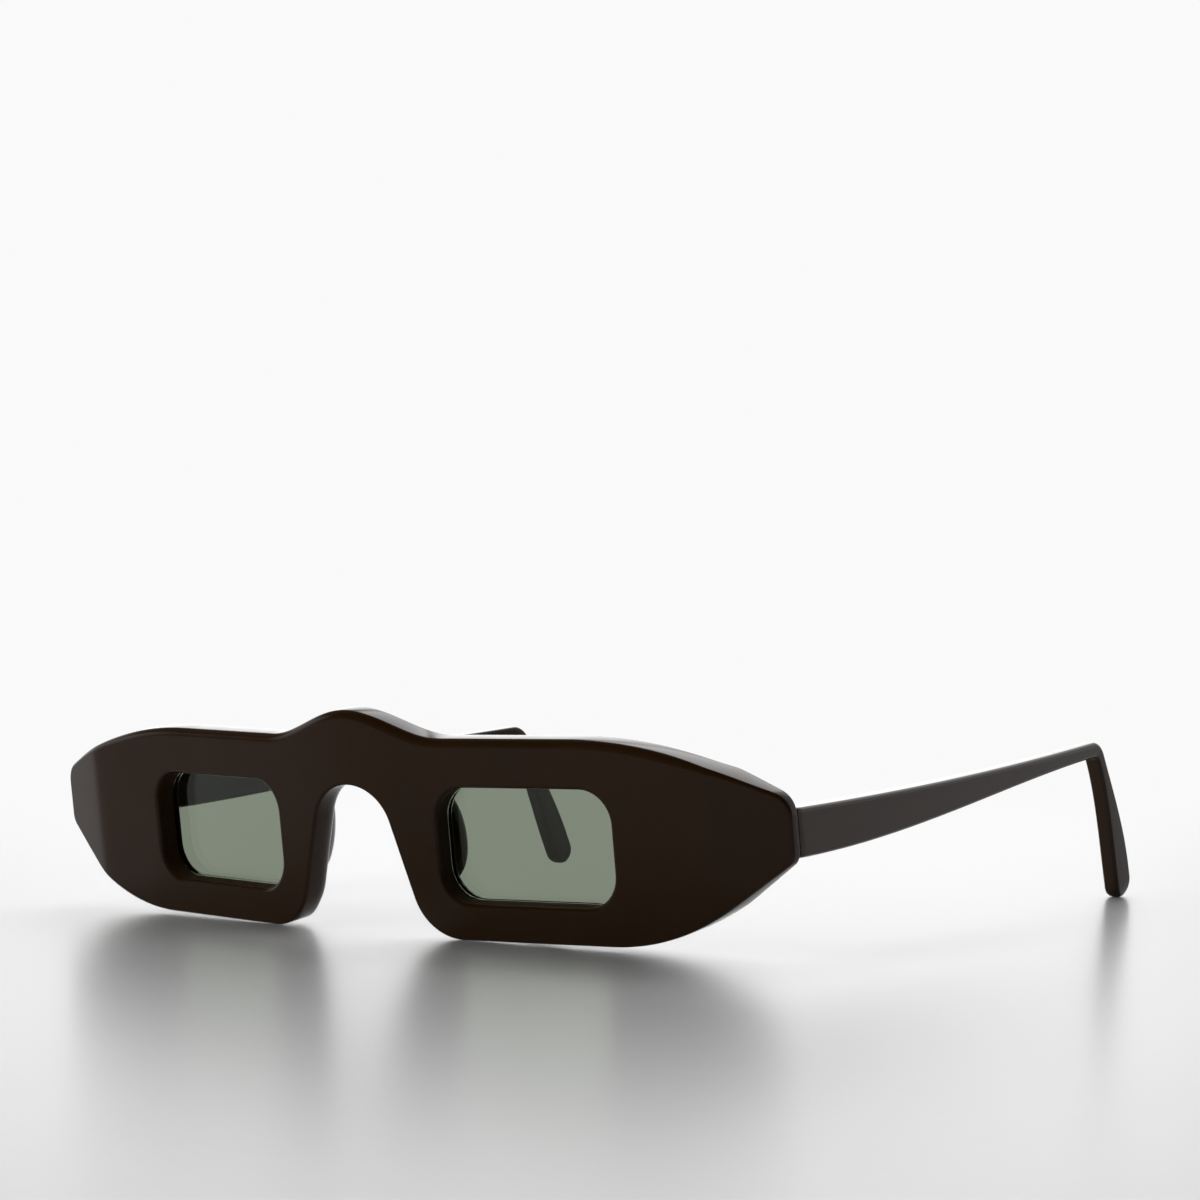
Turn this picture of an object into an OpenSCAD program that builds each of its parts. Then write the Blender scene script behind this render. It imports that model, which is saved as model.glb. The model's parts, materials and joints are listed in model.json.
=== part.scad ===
// Acetate sunglasses with small rectangular lens openings and a wide faceted front.
// Built in the frame of the front: X across, Y back towards the ears, Z up the front.
// The whole is then tipped so that it stands on the two rims and the two temple tips.
// Left and right are the wearer's, so the left side has positive X.

/* [Front] */
// Overall width across the two end pieces
front_w = 144; // [138:1:154]
// Height of the straight brow edge above the lower edge of the rims
brow_h = 30; // [28:0.2:33]
// Rise of the bridge hump above the brow edge
hump_h = 4.2; // [2:0.1:6]
// Half width of the bridge hump
hump_half = 17; // [14:0.5:19]
// Thickness of the acetate sheet
sheet_t = 5.4; // [5.2:0.1:7]
// Sweep back of each half of the front, in degrees
wrap = 6.4; // [3:0.2:9]
// Softness of the fold in the middle of the front
fold_soft = 4; // [2:0.5:7]
// Run of the sloping brow, in from the end wall
brow_run = 19.7; // [16:0.1:24]
// Drop of the brow edge at the end wall
brow_drop = 8.6; // [7:0.1:10]
// Radius where the brow starts to slope
brow_r = 66; // [40:1:72]
// Run of the sloping lower edge, in from the end wall
cheek_run = 17; // [15:0.1:20]
// Height of the lower end corner above the lower edge
cheek_rise = 12.5; // [11:0.1:13]
// Radius where the lower edge starts to slope
cheek_r = 34; // [20:1:38]
// Radius of the upper end corner
top_corner_r = 3.6; // [2.5:0.1:4.5]
// Radius of the lower end corner
low_corner_r = 2.2; // [1.5:0.1:3]

/* [End facets] */
// Width of the facet at each end
facet_w = 11.2; // [9:0.1:12]
// Turn of the facet away from its half of the front, in degrees
facet_turn = 15; // [10:0.5:18]
// Depth of the end wall between the facet and the temple
end_wall = 1.9; // [1.8:0.1:2.8]

/* [Nose] */
// Height of the nose arch above the lower edge
arch_h = 22.9; // [21:0.1:24]
// Radius of the nose arch
arch_r = 7.6; // [6.5:0.1:8.5]
// Splay of the nose sides, in degrees from upright
nose_splay = 16.7; // [12:0.1:20]
// Radius of the inner lower corner of each rim
rim_corner_r = 8.5; // [4:0.1:9]
// Depth of the rear bevel along the nose sides
nose_bevel_d = 2.8; // [1.5:0.1:3.5]
// Width of the rear bevel along the nose sides
nose_bevel_w = 1.3; // [0.6:0.1:1.6]

/* [Edges] */
// Rounding of the front edge along the brow
brow_round = 1.3; // [0.6:0.1:1.6]
// Rounding of the other front edges
front_round = 0.5; // [0.3:0.1:0.8]
// Rounding of the rear edge along the brow
rear_round = 1.1; // [0.5:0.1:1.4]
// Rounding of the rear edge at the ends
end_round = 0.3; // [0.2:0.1:0.5]

/* [Lens openings] */
// Width of each lens opening
eye_w = 29.7; // [28:0.1:32]
// Height of each lens opening
eye_h = 17.3; // [15:0.1:19]
// Width of the bridge between the two openings
bridge_w = 31.5; // [30:0.1:33]
// Height of the openings' sill above the lower edge
sill_h = 5.5; // [4.5:0.1:7]
// Corner radius of the openings
eye_r = 5.1; // [3:0.1:5.6]
// Rounding of the openings' front edge
eye_round = 0.6; // [0.3:0.1:0.8]

/* [Lenses] */
// Thickness of a lens
lens_t = 1.6; // [1.4:0.1:1.8]
// Depth of the lens behind the front surface
lens_set = 3.3; // [2.6:0.1:3.4]
// Depth of the lens bevel held in the rim's groove
lens_bevel = 0.8; // [0.5:0.1:1]
// Clearance of the lens in its groove
lens_gap = 0.05; // [0.02:0.01:0.1]

/* [Nose pads] */
// Height of a nose pad
pad_h = 15; // [12:0.1:16]
// Width of a nose pad at its base
pad_w = 5; // [4:0.1:5.2]
// Stand of a nose pad behind the rim
pad_t = 4.2; // [2.5:0.1:5]
// Lean of a pad's ridge away from the nose
pad_lean = 1.6; // [0.5:0.1:2]
// Height of a pad's middle above the lower edge
pad_z = 14.8; // [13.5:0.1:16]
// Glue line between a pad and the rim
pad_gap = 0.03; // [0.02:0.01:0.1]

/* [Temples] */
// Length of the straight part of a temple
bar_l = 105; // [98:0.5:114]
// Height of a temple at the hinge
butt_h = 7.15; // [6.4:0.05:7.4]
// Height of a temple at the ear bend
bend_h = 2.6; // [1.9:0.05:3.2]
// Thickness of a temple at the hinge
temple_t = 3.4; // [3.2:0.1:3.8]
// Thickness of a temple behind the ear
tail_t = 2.8; // [2.4:0.1:3.2]
// Height of a temple's upper edge above the front's lower edge, at the hinge
butt_top = 19.8; // [18.8:0.05:19.8]
// Fall of the upper edge along the straight part
bar_fall = 9.1; // [7:0.1:11]
// Sag of the upper edge between its ends
bar_sag = 0.8; // [0:0.1:1.2]
// Inward turn of a temple seen from above, in degrees
toe_in = 4.2; // [3:0.1:6]
// Radius of the ear bend
bend_r = 3; // [2.6:0.1:6]
// Turn of the ear bend, in degrees
bend_turn = 63; // [56:1:66]
// Radius of the drop behind the ear
tail_r = 150; // [80:1:200]
// Length of the drop behind the ear
tail_l = 27.4; // [24:0.1:30]
// Height of the paddle at the temple tip
paddle_h = 5.4; // [4:0.1:6]
// Extra inward curl of the temple tip
tip_curl = 1; // [0:0.1:2]
// Rounding of a temple's long edges
temple_round = 0.7; // [0.4:0.1:1]
// Gap between a temple's end and the front
butt_gap = 0.1; // [0.05:0.01:0.2]
// Step of the temple's outer face in from the end wall
flush_step = 0.1; // [0:0.05:0.3]

/* [Temple cores] */
// Radius of the wire inside a temple
core_r = 0.6; // [0.5:0.05:0.7]
// Distance from the wire's end to the temple tip
core_short = 5; // [4:0.5:10]
// Clearance of the wire in the acetate
core_gap = 0.04; // [0.02:0.01:0.08]

/* [Hinges] */
// Height of a hinge
hinge_h = 4.8; // [4.6:0.1:5.2]
// Drop of the hinge below the middle of the temple's end
hinge_drop = 0.45; // [0.3:0.05:0.6]
// Radius of the hinge knuckles
knuckle_r = 1.35; // [1.3:0.05:1.5]
// Distance of the pin behind the front's rear land
pin_back = 1.5; // [1.45:0.05:1.8]
// Distance of the pin inside the temple's inner face
pin_in = 1.8; // [1.7:0.05:2.2]
// Thickness of the hinge leaves
leaf_t = 1; // [0.8:0.05:1.1]
// Width of the front leaf
front_leaf_w = 5.2; // [4.6:0.1:5.4]
// Length of the temple leaf
temple_leaf_l = 7.4; // [6.5:0.1:8]
// Gap between two knuckles
knuckle_gap = 0.06; // [0.04:0.01:0.1]
// Clearance of the leaves in their pockets
leaf_gap = 0.03; // [0.02:0.01:0.06]
// Radius of the anchor studs of a leaf
stud_r = 0.5; // [0.4:0.05:0.6]
// Length of the anchor studs of a leaf
stud_l = 0.8; // [0.5:0.05:0.9]

/* [Screws] */
// Radius of a hinge screw
screw_r = 0.6; // [0.5:0.05:0.65]
// Radius of a screw head
head_r = 0.95; // [0.8:0.05:1]
// Height of a screw head
head_h = 0.55; // [0.4:0.05:0.7]
// Running clearance of the screw in the knuckles
screw_gap = 0.03; // [0.02:0.01:0.05]
// Width of the screwdriver slot
slot_w = 0.3; // [0.2:0.05:0.4]
// Depth of the screwdriver slot
slot_d = 0.3; // [0.2:0.05:0.35]

/* [Hidden] */
left = 1;
right = -1;
acetate = [0.13, 0.11, 0.1];
smoke_green = [0.36, 0.42, 0.36, 0.6];
steel = [0.72, 0.72, 0.74];
nickel = [0.66, 0.64, 0.58];
$fn = 48;

// Surface of the front, seen from above: two straight halves, a soft fold and two end facets
half_w = front_w / 2;
facet_x = half_w - facet_w;
function fold(x) = tan(wrap) * (sqrt(x * x + fold_soft * fold_soft) - fold_soft);
function front_y(x) =
    fold(min(abs(x), facet_x)) + max(0, abs(x) - facet_x) * tan(wrap + facet_turn);
land_y = front_y(half_w) + end_wall;
land_x = facet_x + (land_y - sheet_t - fold(facet_x)) / tan(wrap + facet_turn);
function rear_y(x) = min(front_y(x) + sheet_t, land_y);

// Small helpers on lists and points
function unit(p) = p / norm(p);
function sorted(list) =
    len(list) < 2 ? list :
    let (pivot = list[floor(len(list) / 2)])
    concat(
        sorted([for (x = list) if (x < pivot) x]),
        [pivot],
        sorted([for (x = list) if (x > pivot) x]));
function ease(t) = let (c = min(max(t, 0), 1)) c * c * (3 - 2 * c);
function mix(a, b, t) = a + (b - a) * t;

// Arc of radius r that rounds the corner b between the points a and c
function corner_arc(a, b, c, r) =
    let (to_a = unit(a - b),
         to_c = unit(c - b),
         half_angle = acos(to_a * to_c) / 2,
         centre = b + unit(to_a + to_c) * r / sin(half_angle),
         from = b + to_a * r / tan(half_angle) - centre,
         to = b + to_c * r / tan(half_angle) - centre,
         start = atan2(from.y, from.x),
         turn = 180 - 2 * half_angle,
         side = sign(from.x * to.y - from.y * to.x),
         steps = max(5, ceil(turn / 8)))
    [for (i = [0 : steps])
        let (a = start + side * turn * i / steps) centre + r * [cos(a), sin(a)]];

// Edge from the middle of the front to the end wall, rounded at each corner [x, z, r]
function rounded_edge(corners) =
    let (last = len(corners) - 1)
    [for (i = [1 : last - 1])
        each corner_arc(
            [corners[i - 1].x, corners[i - 1].y],
            [corners[i].x, corners[i].y],
            [corners[i + 1].x, corners[i + 1].y],
            corners[i][2])];

end_top = brow_h - brow_drop;
end_mid = (end_top + cheek_rise) / 2;
hump_steps = 12;
upper_edge = concat(
    [for (i = [0 : hump_steps])
        let (x = hump_half * i / hump_steps)
        [x, brow_h + hump_h * (1 + cos(180 * x / hump_half)) / 2]],
    rounded_edge([
        [hump_half, brow_h, 0],
        [half_w - brow_run, brow_h, brow_r],
        [half_w, end_top, top_corner_r],
        [half_w, end_mid, 0]]));
arch_x = arch_r * tan((90 - nose_splay) / 2);
rim_x = arch_x + arch_h * tan(nose_splay);
lower_edge = concat(
    [[0, arch_h]],
    rounded_edge([
        [0, arch_h, 0],
        [arch_x + 0.05, arch_h, arch_r],
        [rim_x, 0, rim_corner_r],
        [half_w - cheek_run, 0, cheek_r],
        [half_w, cheek_rise, low_corner_r],
        [half_w, end_mid, 0]]));

// Stations that both edges share, with one on each crease of the surface
creases = [facet_x, land_x, land_x + 0.8];
station_gap = 0.45;
function near_crease(x) = min([for (c = creases) abs(x - c)]) < station_gap;
raw_stations = sorted(concat(
    [for (p = upper_edge) if (!near_crease(p.x)) p.x],
    [for (p = lower_edge) if (!near_crease(p.x)) p.x],
    creases));
function thinned(list, i = 0, kept = []) =
    i == len(list) ? kept :
    thinned(list, i + 1,
        (i == 0 || list[i] - kept[len(kept) - 1] > 0.12 || list[i] > half_w - 0.01
            || near_crease(list[i])) ? concat(kept, [list[i]]) : kept);
stations = thinned(raw_stations);
last_station = len(stations) - 1;
function edge_point(edge, x) = [x, x >= half_w ? edge[len(edge) - 1].y : lookup(x, edge)];
upper = [for (x = stations) edge_point(upper_edge, x)];
lower = [for (x = stations) edge_point(lower_edge, x)];

// Closed outline, along the brow to the right and back along the lower edge
outline = concat(
    [for (i = [last_station : -1 : 1]) [-upper[i].x, upper[i].y]],
    upper,
    [for (i = [last_station : -1 : 1]) lower[i]],
    [for (i = [0 : last_station]) [-lower[i].x, lower[i].y]]);
outline_n = len(outline);
brow_n = 2 * last_station + 1;
function inward(i) =
    let (t = unit(outline[(i + 1) % outline_n] - outline[(i + outline_n - 1) % outline_n]))
    [t.y, -t.x];
function on_brow(i) = i < brow_n;
function toward_end(i) = ease((abs(outline[i].x) - (half_w - brow_run)) / (brow_run - 4));
function on_nose(i) =
    on_brow(i) ? 0 : 1 - ease((abs(outline[i].x) - rim_x + 1) / 4);
front_edge = [for (i = [0 : outline_n - 1])
    on_brow(i) ? mix(brow_round, front_round, toward_end(i)) : front_round];
rear_edge_w = [for (i = [0 : outline_n - 1])
    on_brow(i) ? mix(rear_round, end_round, toward_end(i)) :
    mix(mix(0.8, end_round, toward_end(i)), nose_bevel_w, on_nose(i))];
rear_edge_d = [for (i = [0 : outline_n - 1])
    mix(rear_edge_w[i], nose_bevel_d, on_nose(i))];

// One ring of the front's skin: the outline drawn in by inset, at a depth from one face
edge_steps = 3;
function front_ring(a) = [for (i = [0 : outline_n - 1])
    let (p = outline[i] + inward(i) * front_edge[i] * (1 - sin(a)))
    [p.x, front_y(p.x) + front_edge[i] * (1 - cos(a)), p.y]];
function rear_ring(a) = [for (i = [0 : outline_n - 1])
    let (p = outline[i] + inward(i) * rear_edge_w[i] * (1 - cos(a)))
    [p.x, rear_y(p.x) - rear_edge_d[i] * (1 - sin(a)), p.y]];
front_skin = concat(
    [for (k = [0 : edge_steps]) each front_ring(90 * k / edge_steps)],
    [for (k = [0 : edge_steps]) each rear_ring(90 * k / edge_steps)]);
front_rings = 2 * (edge_steps + 1);

// Triangles of a tube of rings of n points each, wound to face outwards
function tube_faces(rings, n) = [for (k = [0 : rings - 2]) for (i = [0 : n - 1])
    let (j = (i + 1) % n)
    each [
        [k * n + i, (k + 1) * n + j, k * n + j],
        [k * n + i, (k + 1) * n + i, (k + 1) * n + j]]];
// Cap of the front's outline: rungs between the brow and the lower edge
function rung_faces(base, flip) = [for (i = [0 : brow_n - 2])
    let (a = base + i,
         b = base + i + 1,
         c = base + opposite(i + 1),
         d = base + opposite(i))
    each (flip ? [[a, c, b], [a, d, c]] : [[a, b, c], [a, c, d]])];
function opposite(i) = 2 * brow_n - 1 - i;

module front_blank() {
    polyhedron(
        points = front_skin,
        faces = concat(
            rung_faces(0, false),
            tube_faces(front_rings, outline_n),
            rung_faces((front_rings - 1) * outline_n, true)),
        convexity = 6);
}

// Middle of a lens opening and the plane of its half of the front
eye_x = (bridge_w + eye_w) / 2;
eye_y = (front_y(bridge_w / 2) + front_y(bridge_w / 2 + eye_w)) / 2;
eye_turn = atan((front_y(bridge_w / 2 + eye_w) - front_y(bridge_w / 2)) / eye_w);
eye_z = sill_h + eye_h / 2;
module at_eye() {
    translate([eye_x, eye_y, eye_z]) rotate([0, 0, eye_turn]) children();
}

// Rounded rectangle drawn out by grow, in the plane of the opening, at depth y
corner_steps = 6;
function eye_ring(grow, y) = [for (q = [0 : 3]) for (i = [0 : corner_steps])
    let (a = 90 * (q + i / corner_steps),
         sx = (q == 0 || q == 3) ? 1 : -1,
         sz = q < 2 ? 1 : -1)
    [sx * (eye_w / 2 - eye_r) + (eye_r + grow) * cos(a), y,
     sz * (eye_h / 2 - eye_r) + (eye_r + grow) * sin(a)]];
eye_n = 4 * (corner_steps + 1);
module eye_plate(rings) {
    polyhedron(
        points = [for (r = rings) each eye_ring(r[0], r[1])],
        faces = concat(
            [[for (i = [eye_n - 1 : -1 : 0]) i]],
            [for (f = tube_faces(len(rings), eye_n)) [f[2], f[1], f[0]]],
            [[for (i = [0 : eye_n - 1]) (len(rings) - 1) * eye_n + i]]),
        convexity = 4);
}

// Opening with a rounded front edge and a V groove for the lens
module eye_cut() {
    mid = lens_set + lens_t / 2;
    wide = lens_t / 2 + lens_gap;
    eye_plate(concat(
        [[eye_round + 3, -3]],
        [for (a = [0 : 30 : 90]) [eye_round * (1 - sin(a)), eye_round * (1 - cos(a))]],
        [[0, mid - wide],
         [lens_bevel + lens_gap, mid - 0.2],
         [lens_bevel + lens_gap, mid + 0.2],
         [0, mid + wide],
         [0, sheet_t + 2]]));
}

// Place of the hinge pin and of the temple's end, on the left side
temple_out = half_w - flush_step;
temple_in = temple_out - temple_t;
butt_y = land_y + butt_gap;
pin_x = temple_in - pin_in;
pin_y = land_y + pin_back;
hinge_z = butt_top - butt_h / 2 - hinge_drop;
hinge_low = hinge_z - hinge_h / 2;
knuckle_h = (hinge_h - 2 * knuckle_gap) / 3;
leaf_start = 0.3;
cut_past = 1;

// Side view of a temple: a bar that tapers, a bend over the ear and a widening tail
function bar_point(t) =
    let (h = mix(butt_h, bend_h, ease(t)))
    [butt_y + t * bar_l, butt_top - bar_fall * t - 4 * bar_sag * t * (1 - t) - h / 2, h];
bar_end = bar_point(1);
bar_back = bar_point(0.98);
bar_dip = atan((bar_back.y - bar_end.y) / (bar_end.x - bar_back.x));
tail_dip = bar_dip + bend_turn;
tail_y = bar_end.x + bend_r * (sin(tail_dip) - sin(bar_dip));
tail_z = bar_end.y - bend_r * (cos(bar_dip) - cos(tail_dip));
paddle_r = paddle_h / 2;

// Stations along a temple: [y, z, dip, height, distance along the tail]
function bar_station(t) =
    let (p = bar_point(t)) [p.x, p.y, bar_dip * t, p[2], 0];
function bend_station(t) =
    let (dip = bar_dip + bend_turn * t)
    [bar_end.x + bend_r * (sin(dip) - sin(bar_dip)),
     bar_end.y - bend_r * (cos(bar_dip) - cos(dip)), dip, bend_h, 0];
function tail_station(s) =
    let (dip = tail_dip + s / tail_r * 180 / PI)
    [tail_y + tail_r * (sin(dip) - sin(tail_dip)),
     tail_z - tail_r * (cos(tail_dip) - cos(dip)), dip,
     mix(bend_h, paddle_h, ease(s / (tail_l - 2 * paddle_r))), s];
bar_steps = 12;
bend_steps = 7;
tail_steps = 7;
tip_angles = [22, 44, 62, 76, 86];
temple_stations = concat(
    [for (i = [0 : bar_steps]) bar_station(i / bar_steps)],
    [for (i = [1 : bend_steps]) bend_station(i / bend_steps)],
    [for (i = [1 : tail_steps]) tail_station((tail_l - paddle_r) * i / tail_steps)]);

// Plan view of a temple: turned in from the hinge, thinner and curled in behind the ear
function thickness(y) = mix(temple_t, tail_t, ease((y - butt_y - 15) / (bar_l - 15)));
function outer_x(y, s) = temple_out - tan(toe_in) * (y - butt_y) - tip_curl * pow(s / tail_l, 2);
function middle_x(y, s) = outer_x(y, s) - thickness(y) / 2;

// Rounded rectangle at a station, drawn in by inset
section_steps = 4;
section_n = 4 * (section_steps + 1);
function section(st, inset, shrink) =
    let (a = (thickness(st[0]) / 2 - inset) * mix(1, shrink, 0.5),
         b = (st[3] / 2 - inset) * shrink,
         r = min(temple_round, 0.95 * min(a, b)),
         x = middle_x(st[0], st[4]))
    [for (q = [0 : 3]) for (i = [0 : section_steps])
        let (w = 90 * (q + i / section_steps),
             across = ((q == 0 || q == 3) ? 1 : -1) * (a - r) + r * cos(w),
             up = (q < 2 ? 1 : -1) * (b - r) + r * sin(w))
        [x + across, st[0] + up * sin(st[2]), st[1] + up * cos(st[2])]];
butt_bevel = 0.2;
function moved_back(st, d) = [st[0] + d, st[1], st[2], st[3], st[4]];
temple_skin = concat(
    section(temple_stations[0], butt_bevel, 1),
    section(moved_back(temple_stations[0], butt_bevel), 0, 1),
    [for (i = [1 : len(temple_stations) - 1]) each section(temple_stations[i], 0, 1)],
    [for (a = tip_angles)
        each section(tail_station(tail_l - paddle_r + paddle_r * sin(a)), 0, cos(a))]);

// Solid through a list of rings of n points each
module lofted(points, n) {
    rings = len(points) / n;
    polyhedron(
        points = points,
        faces = concat(
            [[for (i = [n - 1 : -1 : 0]) i]],
            [for (f = tube_faces(rings, n)) [f[2], f[1], f[0]]],
            [[for (i = [0 : n - 1]) (rings - 1) * n + i]]),
        convexity = 6);
}

// Tilt at which the lowest points of the rims and of the temple tips are level
function low(points, a) = min([for (p = points) p.z * cos(a) + p.y * sin(a)]);
function level(lo, hi, n) =
    n == 0 ? (lo + hi) / 2 :
    let (a = (lo + hi) / 2)
    low(temple_skin, a) < low(front_skin, a) ? level(a, hi, n - 1) : level(lo, a, n - 1);
tilt = level(0, 30, 24);
stand_z = low(front_skin, tilt);
stand_y = (min([for (p = front_skin) p.y * cos(tilt) - p.z * sin(tilt)])
    + max([for (p = temple_skin) p.y * cos(tilt) - p.z * sin(tilt)])) / 2;

// Puts a left-hand piece in its place, or its mirror image on the right
module placed(side) {
    translate([0, -stand_y, -stand_z]) rotate([tilt, 0, 0]) on_side(side) children();
}
module on_side(side) {
    if (side == left) children();
    else mirror([1, 0, 0]) children();
}

// Leaf let into the rear land of the front, and its pocket when grown
module front_leaf(grow) {
    open = grow > 0 ? cut_past : 0;
    translate([(pin_x + temple_in - 1.2) / 2, land_y - leaf_t, hinge_z]) {
        translate([-front_leaf_w / 2 - grow, -grow, -hinge_h / 2 - grow])
            cube([front_leaf_w + 2 * grow, leaf_t + grow + open, hinge_h + 2 * grow]);
        for (x = [-1, 1] * front_leaf_w / 4)
            translate([x, 0.1, 0]) rotate([90, 0, 0])
                cylinder(r = stud_r + grow, h = stud_l + 0.1 + grow);
    }
}

// Leaf let into the inner face of the temple, and its pocket when grown
module temple_leaf(grow) {
    open = grow > 0 ? cut_past : 0;
    translate([temple_in, butt_y, hinge_z]) rotate([0, 0, toe_in]) {
        translate([-open, leaf_start - grow, -hinge_h / 2 - grow])
            cube([leaf_t + grow + open, temple_leaf_l + 2 * grow, hinge_h + 2 * grow]);
        for (z = [-1, 1] * hinge_h * 0.32)
            translate([leaf_t - 0.1, temple_leaf_l - 1, z]) rotate([0, 90, 0])
                cylinder(r = stud_r + grow, h = stud_l / 2 + 0.1 + grow);
    }
}

// The three knuckles are tiers 0 to 2, from the lowest
function tier_z(tier) = hinge_low + tier * (knuckle_h + knuckle_gap);
module knuckle(tier) {
    translate([pin_x, pin_y, tier_z(tier)]) cylinder(r = knuckle_r, h = knuckle_h);
}
module pin_bore() {
    translate([pin_x, pin_y, hinge_low - cut_past])
        cylinder(r = screw_r + screw_gap, h = hinge_h + 2 * cut_past);
}

module front_frame() {
    color(acetate) placed(left) difference() {
        front_blank();
        for (side = [left, right]) on_side(side) {
            at_eye() eye_cut();
            front_leaf(leaf_gap);
        }
    }
}

module lens(side) {
    mid = lens_set + lens_t / 2;
    color(smoke_green) placed(side) at_eye() eye_plate([
        [-lens_gap, mid - lens_t / 2],
        [lens_bevel, mid - 0.15],
        [lens_bevel, mid + 0.15],
        [-lens_gap, mid + lens_t / 2]]);
}

// Pad built up behind the rim, along the nose side, with its ridge leaning outwards
pad_n = 24;
pad_angles = [0, 14, 28, 42, 56, 70, 83];
pad_inset = 0.5;
pad_inner = bridge_w / 2 - pad_inset - pad_w;
function off_plane(x) = (front_y(x) - eye_y - (x - eye_x) * tan(eye_turn)) * cos(eye_turn);
module nose_pad(side) {
    swell = max(0, off_plane(pad_inner - 1));
    back = sheet_t * cos(eye_turn) + swell + pad_gap;
    color(acetate) placed(side) at_eye()
        translate([-(eye_w + pad_w) / 2 - pad_inset, back, pad_z - eye_z])
            rotate([0, -nose_splay / 2, 0])
                lofted([for (a = pad_angles) for (i = [0 : pad_n - 1])
                    let (w = 360 * i / pad_n)
                    [pad_lean * sin(a) + pad_w / 2 * cos(a) * cos(w), pad_t * sin(a),
                     pad_h / 2 * pow(cos(a), 0.8) * sin(w)]], pad_n);
}

module temple(side) {
    color(acetate) placed(side) difference() {
        lofted(temple_skin, section_n);
        temple_leaf(leaf_gap);
        core_wire(core_r + core_gap, 0.1);
    }
}

// Wire along the middle of the temple, set outwards beside the hinge leaf
core_n = 8;
core_shift = leaf_t + core_r + 0.55 - temple_t / 2;
function core_x(y, s) = middle_x(y, s) + core_shift * (1 - ease((y - butt_y - 10) / 20));
core_tail = tail_l - core_short;
module core_wire(r, past) {
    stations = concat(
        [for (i = [0 : bar_steps]) bar_station(i / bar_steps)],
        [for (i = [1 : bend_steps]) bend_station(i / bend_steps)],
        [for (i = [1 : tail_steps - 1]) tail_station(core_tail * i / (tail_steps - 1))],
        past > 0 ? [tail_station(core_tail + past)] : []);
    lofted([for (k = [0 : len(stations) - 1]) for (i = [0 : core_n - 1])
        let (st = k == 0 ? moved_back(stations[0], -past) : stations[k],
             w = 360 * (i + 0.5) / core_n)
        [core_x(st[0], st[4]) + r * cos(w),
         st[0] + r * sin(w) * sin(st[2]), st[1] + r * sin(w) * cos(st[2])]], core_n);
}
module temple_core(side) {
    color(nickel) placed(side) core_wire(core_r, 0);
}

module hinge_front(side) {
    neck_y = pin_y - land_y + 0.2;
    color(steel) placed(side) difference() {
        union() {
            front_leaf(0);
            for (tier = [0, 2]) {
                knuckle(tier);
                translate([pin_x - knuckle_r, land_y - 0.2, tier_z(tier)])
                    cube([2 * knuckle_r, neck_y, knuckle_h]);
            }
        }
        pin_bore();
        translate([pin_x, pin_y, hinge_low + hinge_h - head_h - screw_gap])
            cylinder(r = head_r + screw_gap, h = head_h + cut_past);
    }
}

module hinge_temple(side) {
    neck_t = 1.6;
    color(steel) placed(side) difference() {
        union() {
            temple_leaf(0);
            knuckle(1);
            translate([pin_x, pin_y - neck_t / 2, tier_z(1)])
                cube([pin_in + 0.3, neck_t, knuckle_h]);
        }
        pin_bore();
    }
}

module hinge_screw(side) {
    shaft_h = hinge_h - head_h;
    color(nickel) placed(side) translate([pin_x, pin_y, hinge_low]) difference() {
        union() {
            cylinder(r = screw_r, h = shaft_h + 0.1);
            translate([0, 0, shaft_h]) cylinder(r = head_r, h = head_h);
        }
        translate([-slot_w / 2, -head_r - 0.1, hinge_h - slot_d])
            cube([slot_w, 2 * head_r + 0.2, slot_d + 0.1]);
    }
}

front_frame();
lens(right);  // lens_right
lens(left);  // lens_left
nose_pad(right);  // nose_pad_right
nose_pad(left);  // nose_pad_left
temple(right);  // temple_right
temple(left);  // temple_left
temple_core(right);  // temple_core_right
temple_core(left);  // temple_core_left
hinge_front(right);  // hinge_front_right
hinge_front(left);  // hinge_front_left
hinge_temple(right);  // hinge_temple_right
hinge_temple(left);  // hinge_temple_left
hinge_screw(right);  // hinge_screw_right
hinge_screw(left);  // hinge_screw_left
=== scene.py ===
"""Angular acetate sunglasses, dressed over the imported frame.

Sizes are in millimetres and in the frame of the front: u across, w back towards the ears and
v up the front. Stand turns them into the row frame, in metres. Left and right are the wearer's.
"""

import sys
import json
import logging
import math
from dataclasses import dataclass, field, fields
from enum import Enum
from typing import Callable, NamedTuple, Sequence

import bmesh
import bpy
from mathutils import Matrix, Vector
from mathutils.geometry import delaunay_2d_cdt


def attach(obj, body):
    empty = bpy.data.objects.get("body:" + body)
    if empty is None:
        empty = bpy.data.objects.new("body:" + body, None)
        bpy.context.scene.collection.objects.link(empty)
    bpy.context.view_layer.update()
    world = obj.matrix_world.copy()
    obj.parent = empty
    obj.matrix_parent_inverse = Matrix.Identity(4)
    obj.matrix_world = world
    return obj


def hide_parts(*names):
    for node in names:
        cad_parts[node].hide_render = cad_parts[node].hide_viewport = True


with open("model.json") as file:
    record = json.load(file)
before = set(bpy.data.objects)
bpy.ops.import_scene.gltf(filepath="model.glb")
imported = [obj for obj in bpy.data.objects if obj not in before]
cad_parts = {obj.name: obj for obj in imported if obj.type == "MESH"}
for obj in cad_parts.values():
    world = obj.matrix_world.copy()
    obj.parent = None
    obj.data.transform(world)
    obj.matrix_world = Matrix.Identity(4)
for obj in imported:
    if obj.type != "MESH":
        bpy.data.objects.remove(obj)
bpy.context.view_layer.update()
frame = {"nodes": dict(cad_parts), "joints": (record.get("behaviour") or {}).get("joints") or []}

Point2 = tuple[float, float]
Point3 = tuple[float, float, float]
Socket = bpy.types.NodeSocket
Material = bpy.types.Material
Piece = bpy.types.Object

log = logging.getLogger("sunglasses")
MM = 0.001
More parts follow.
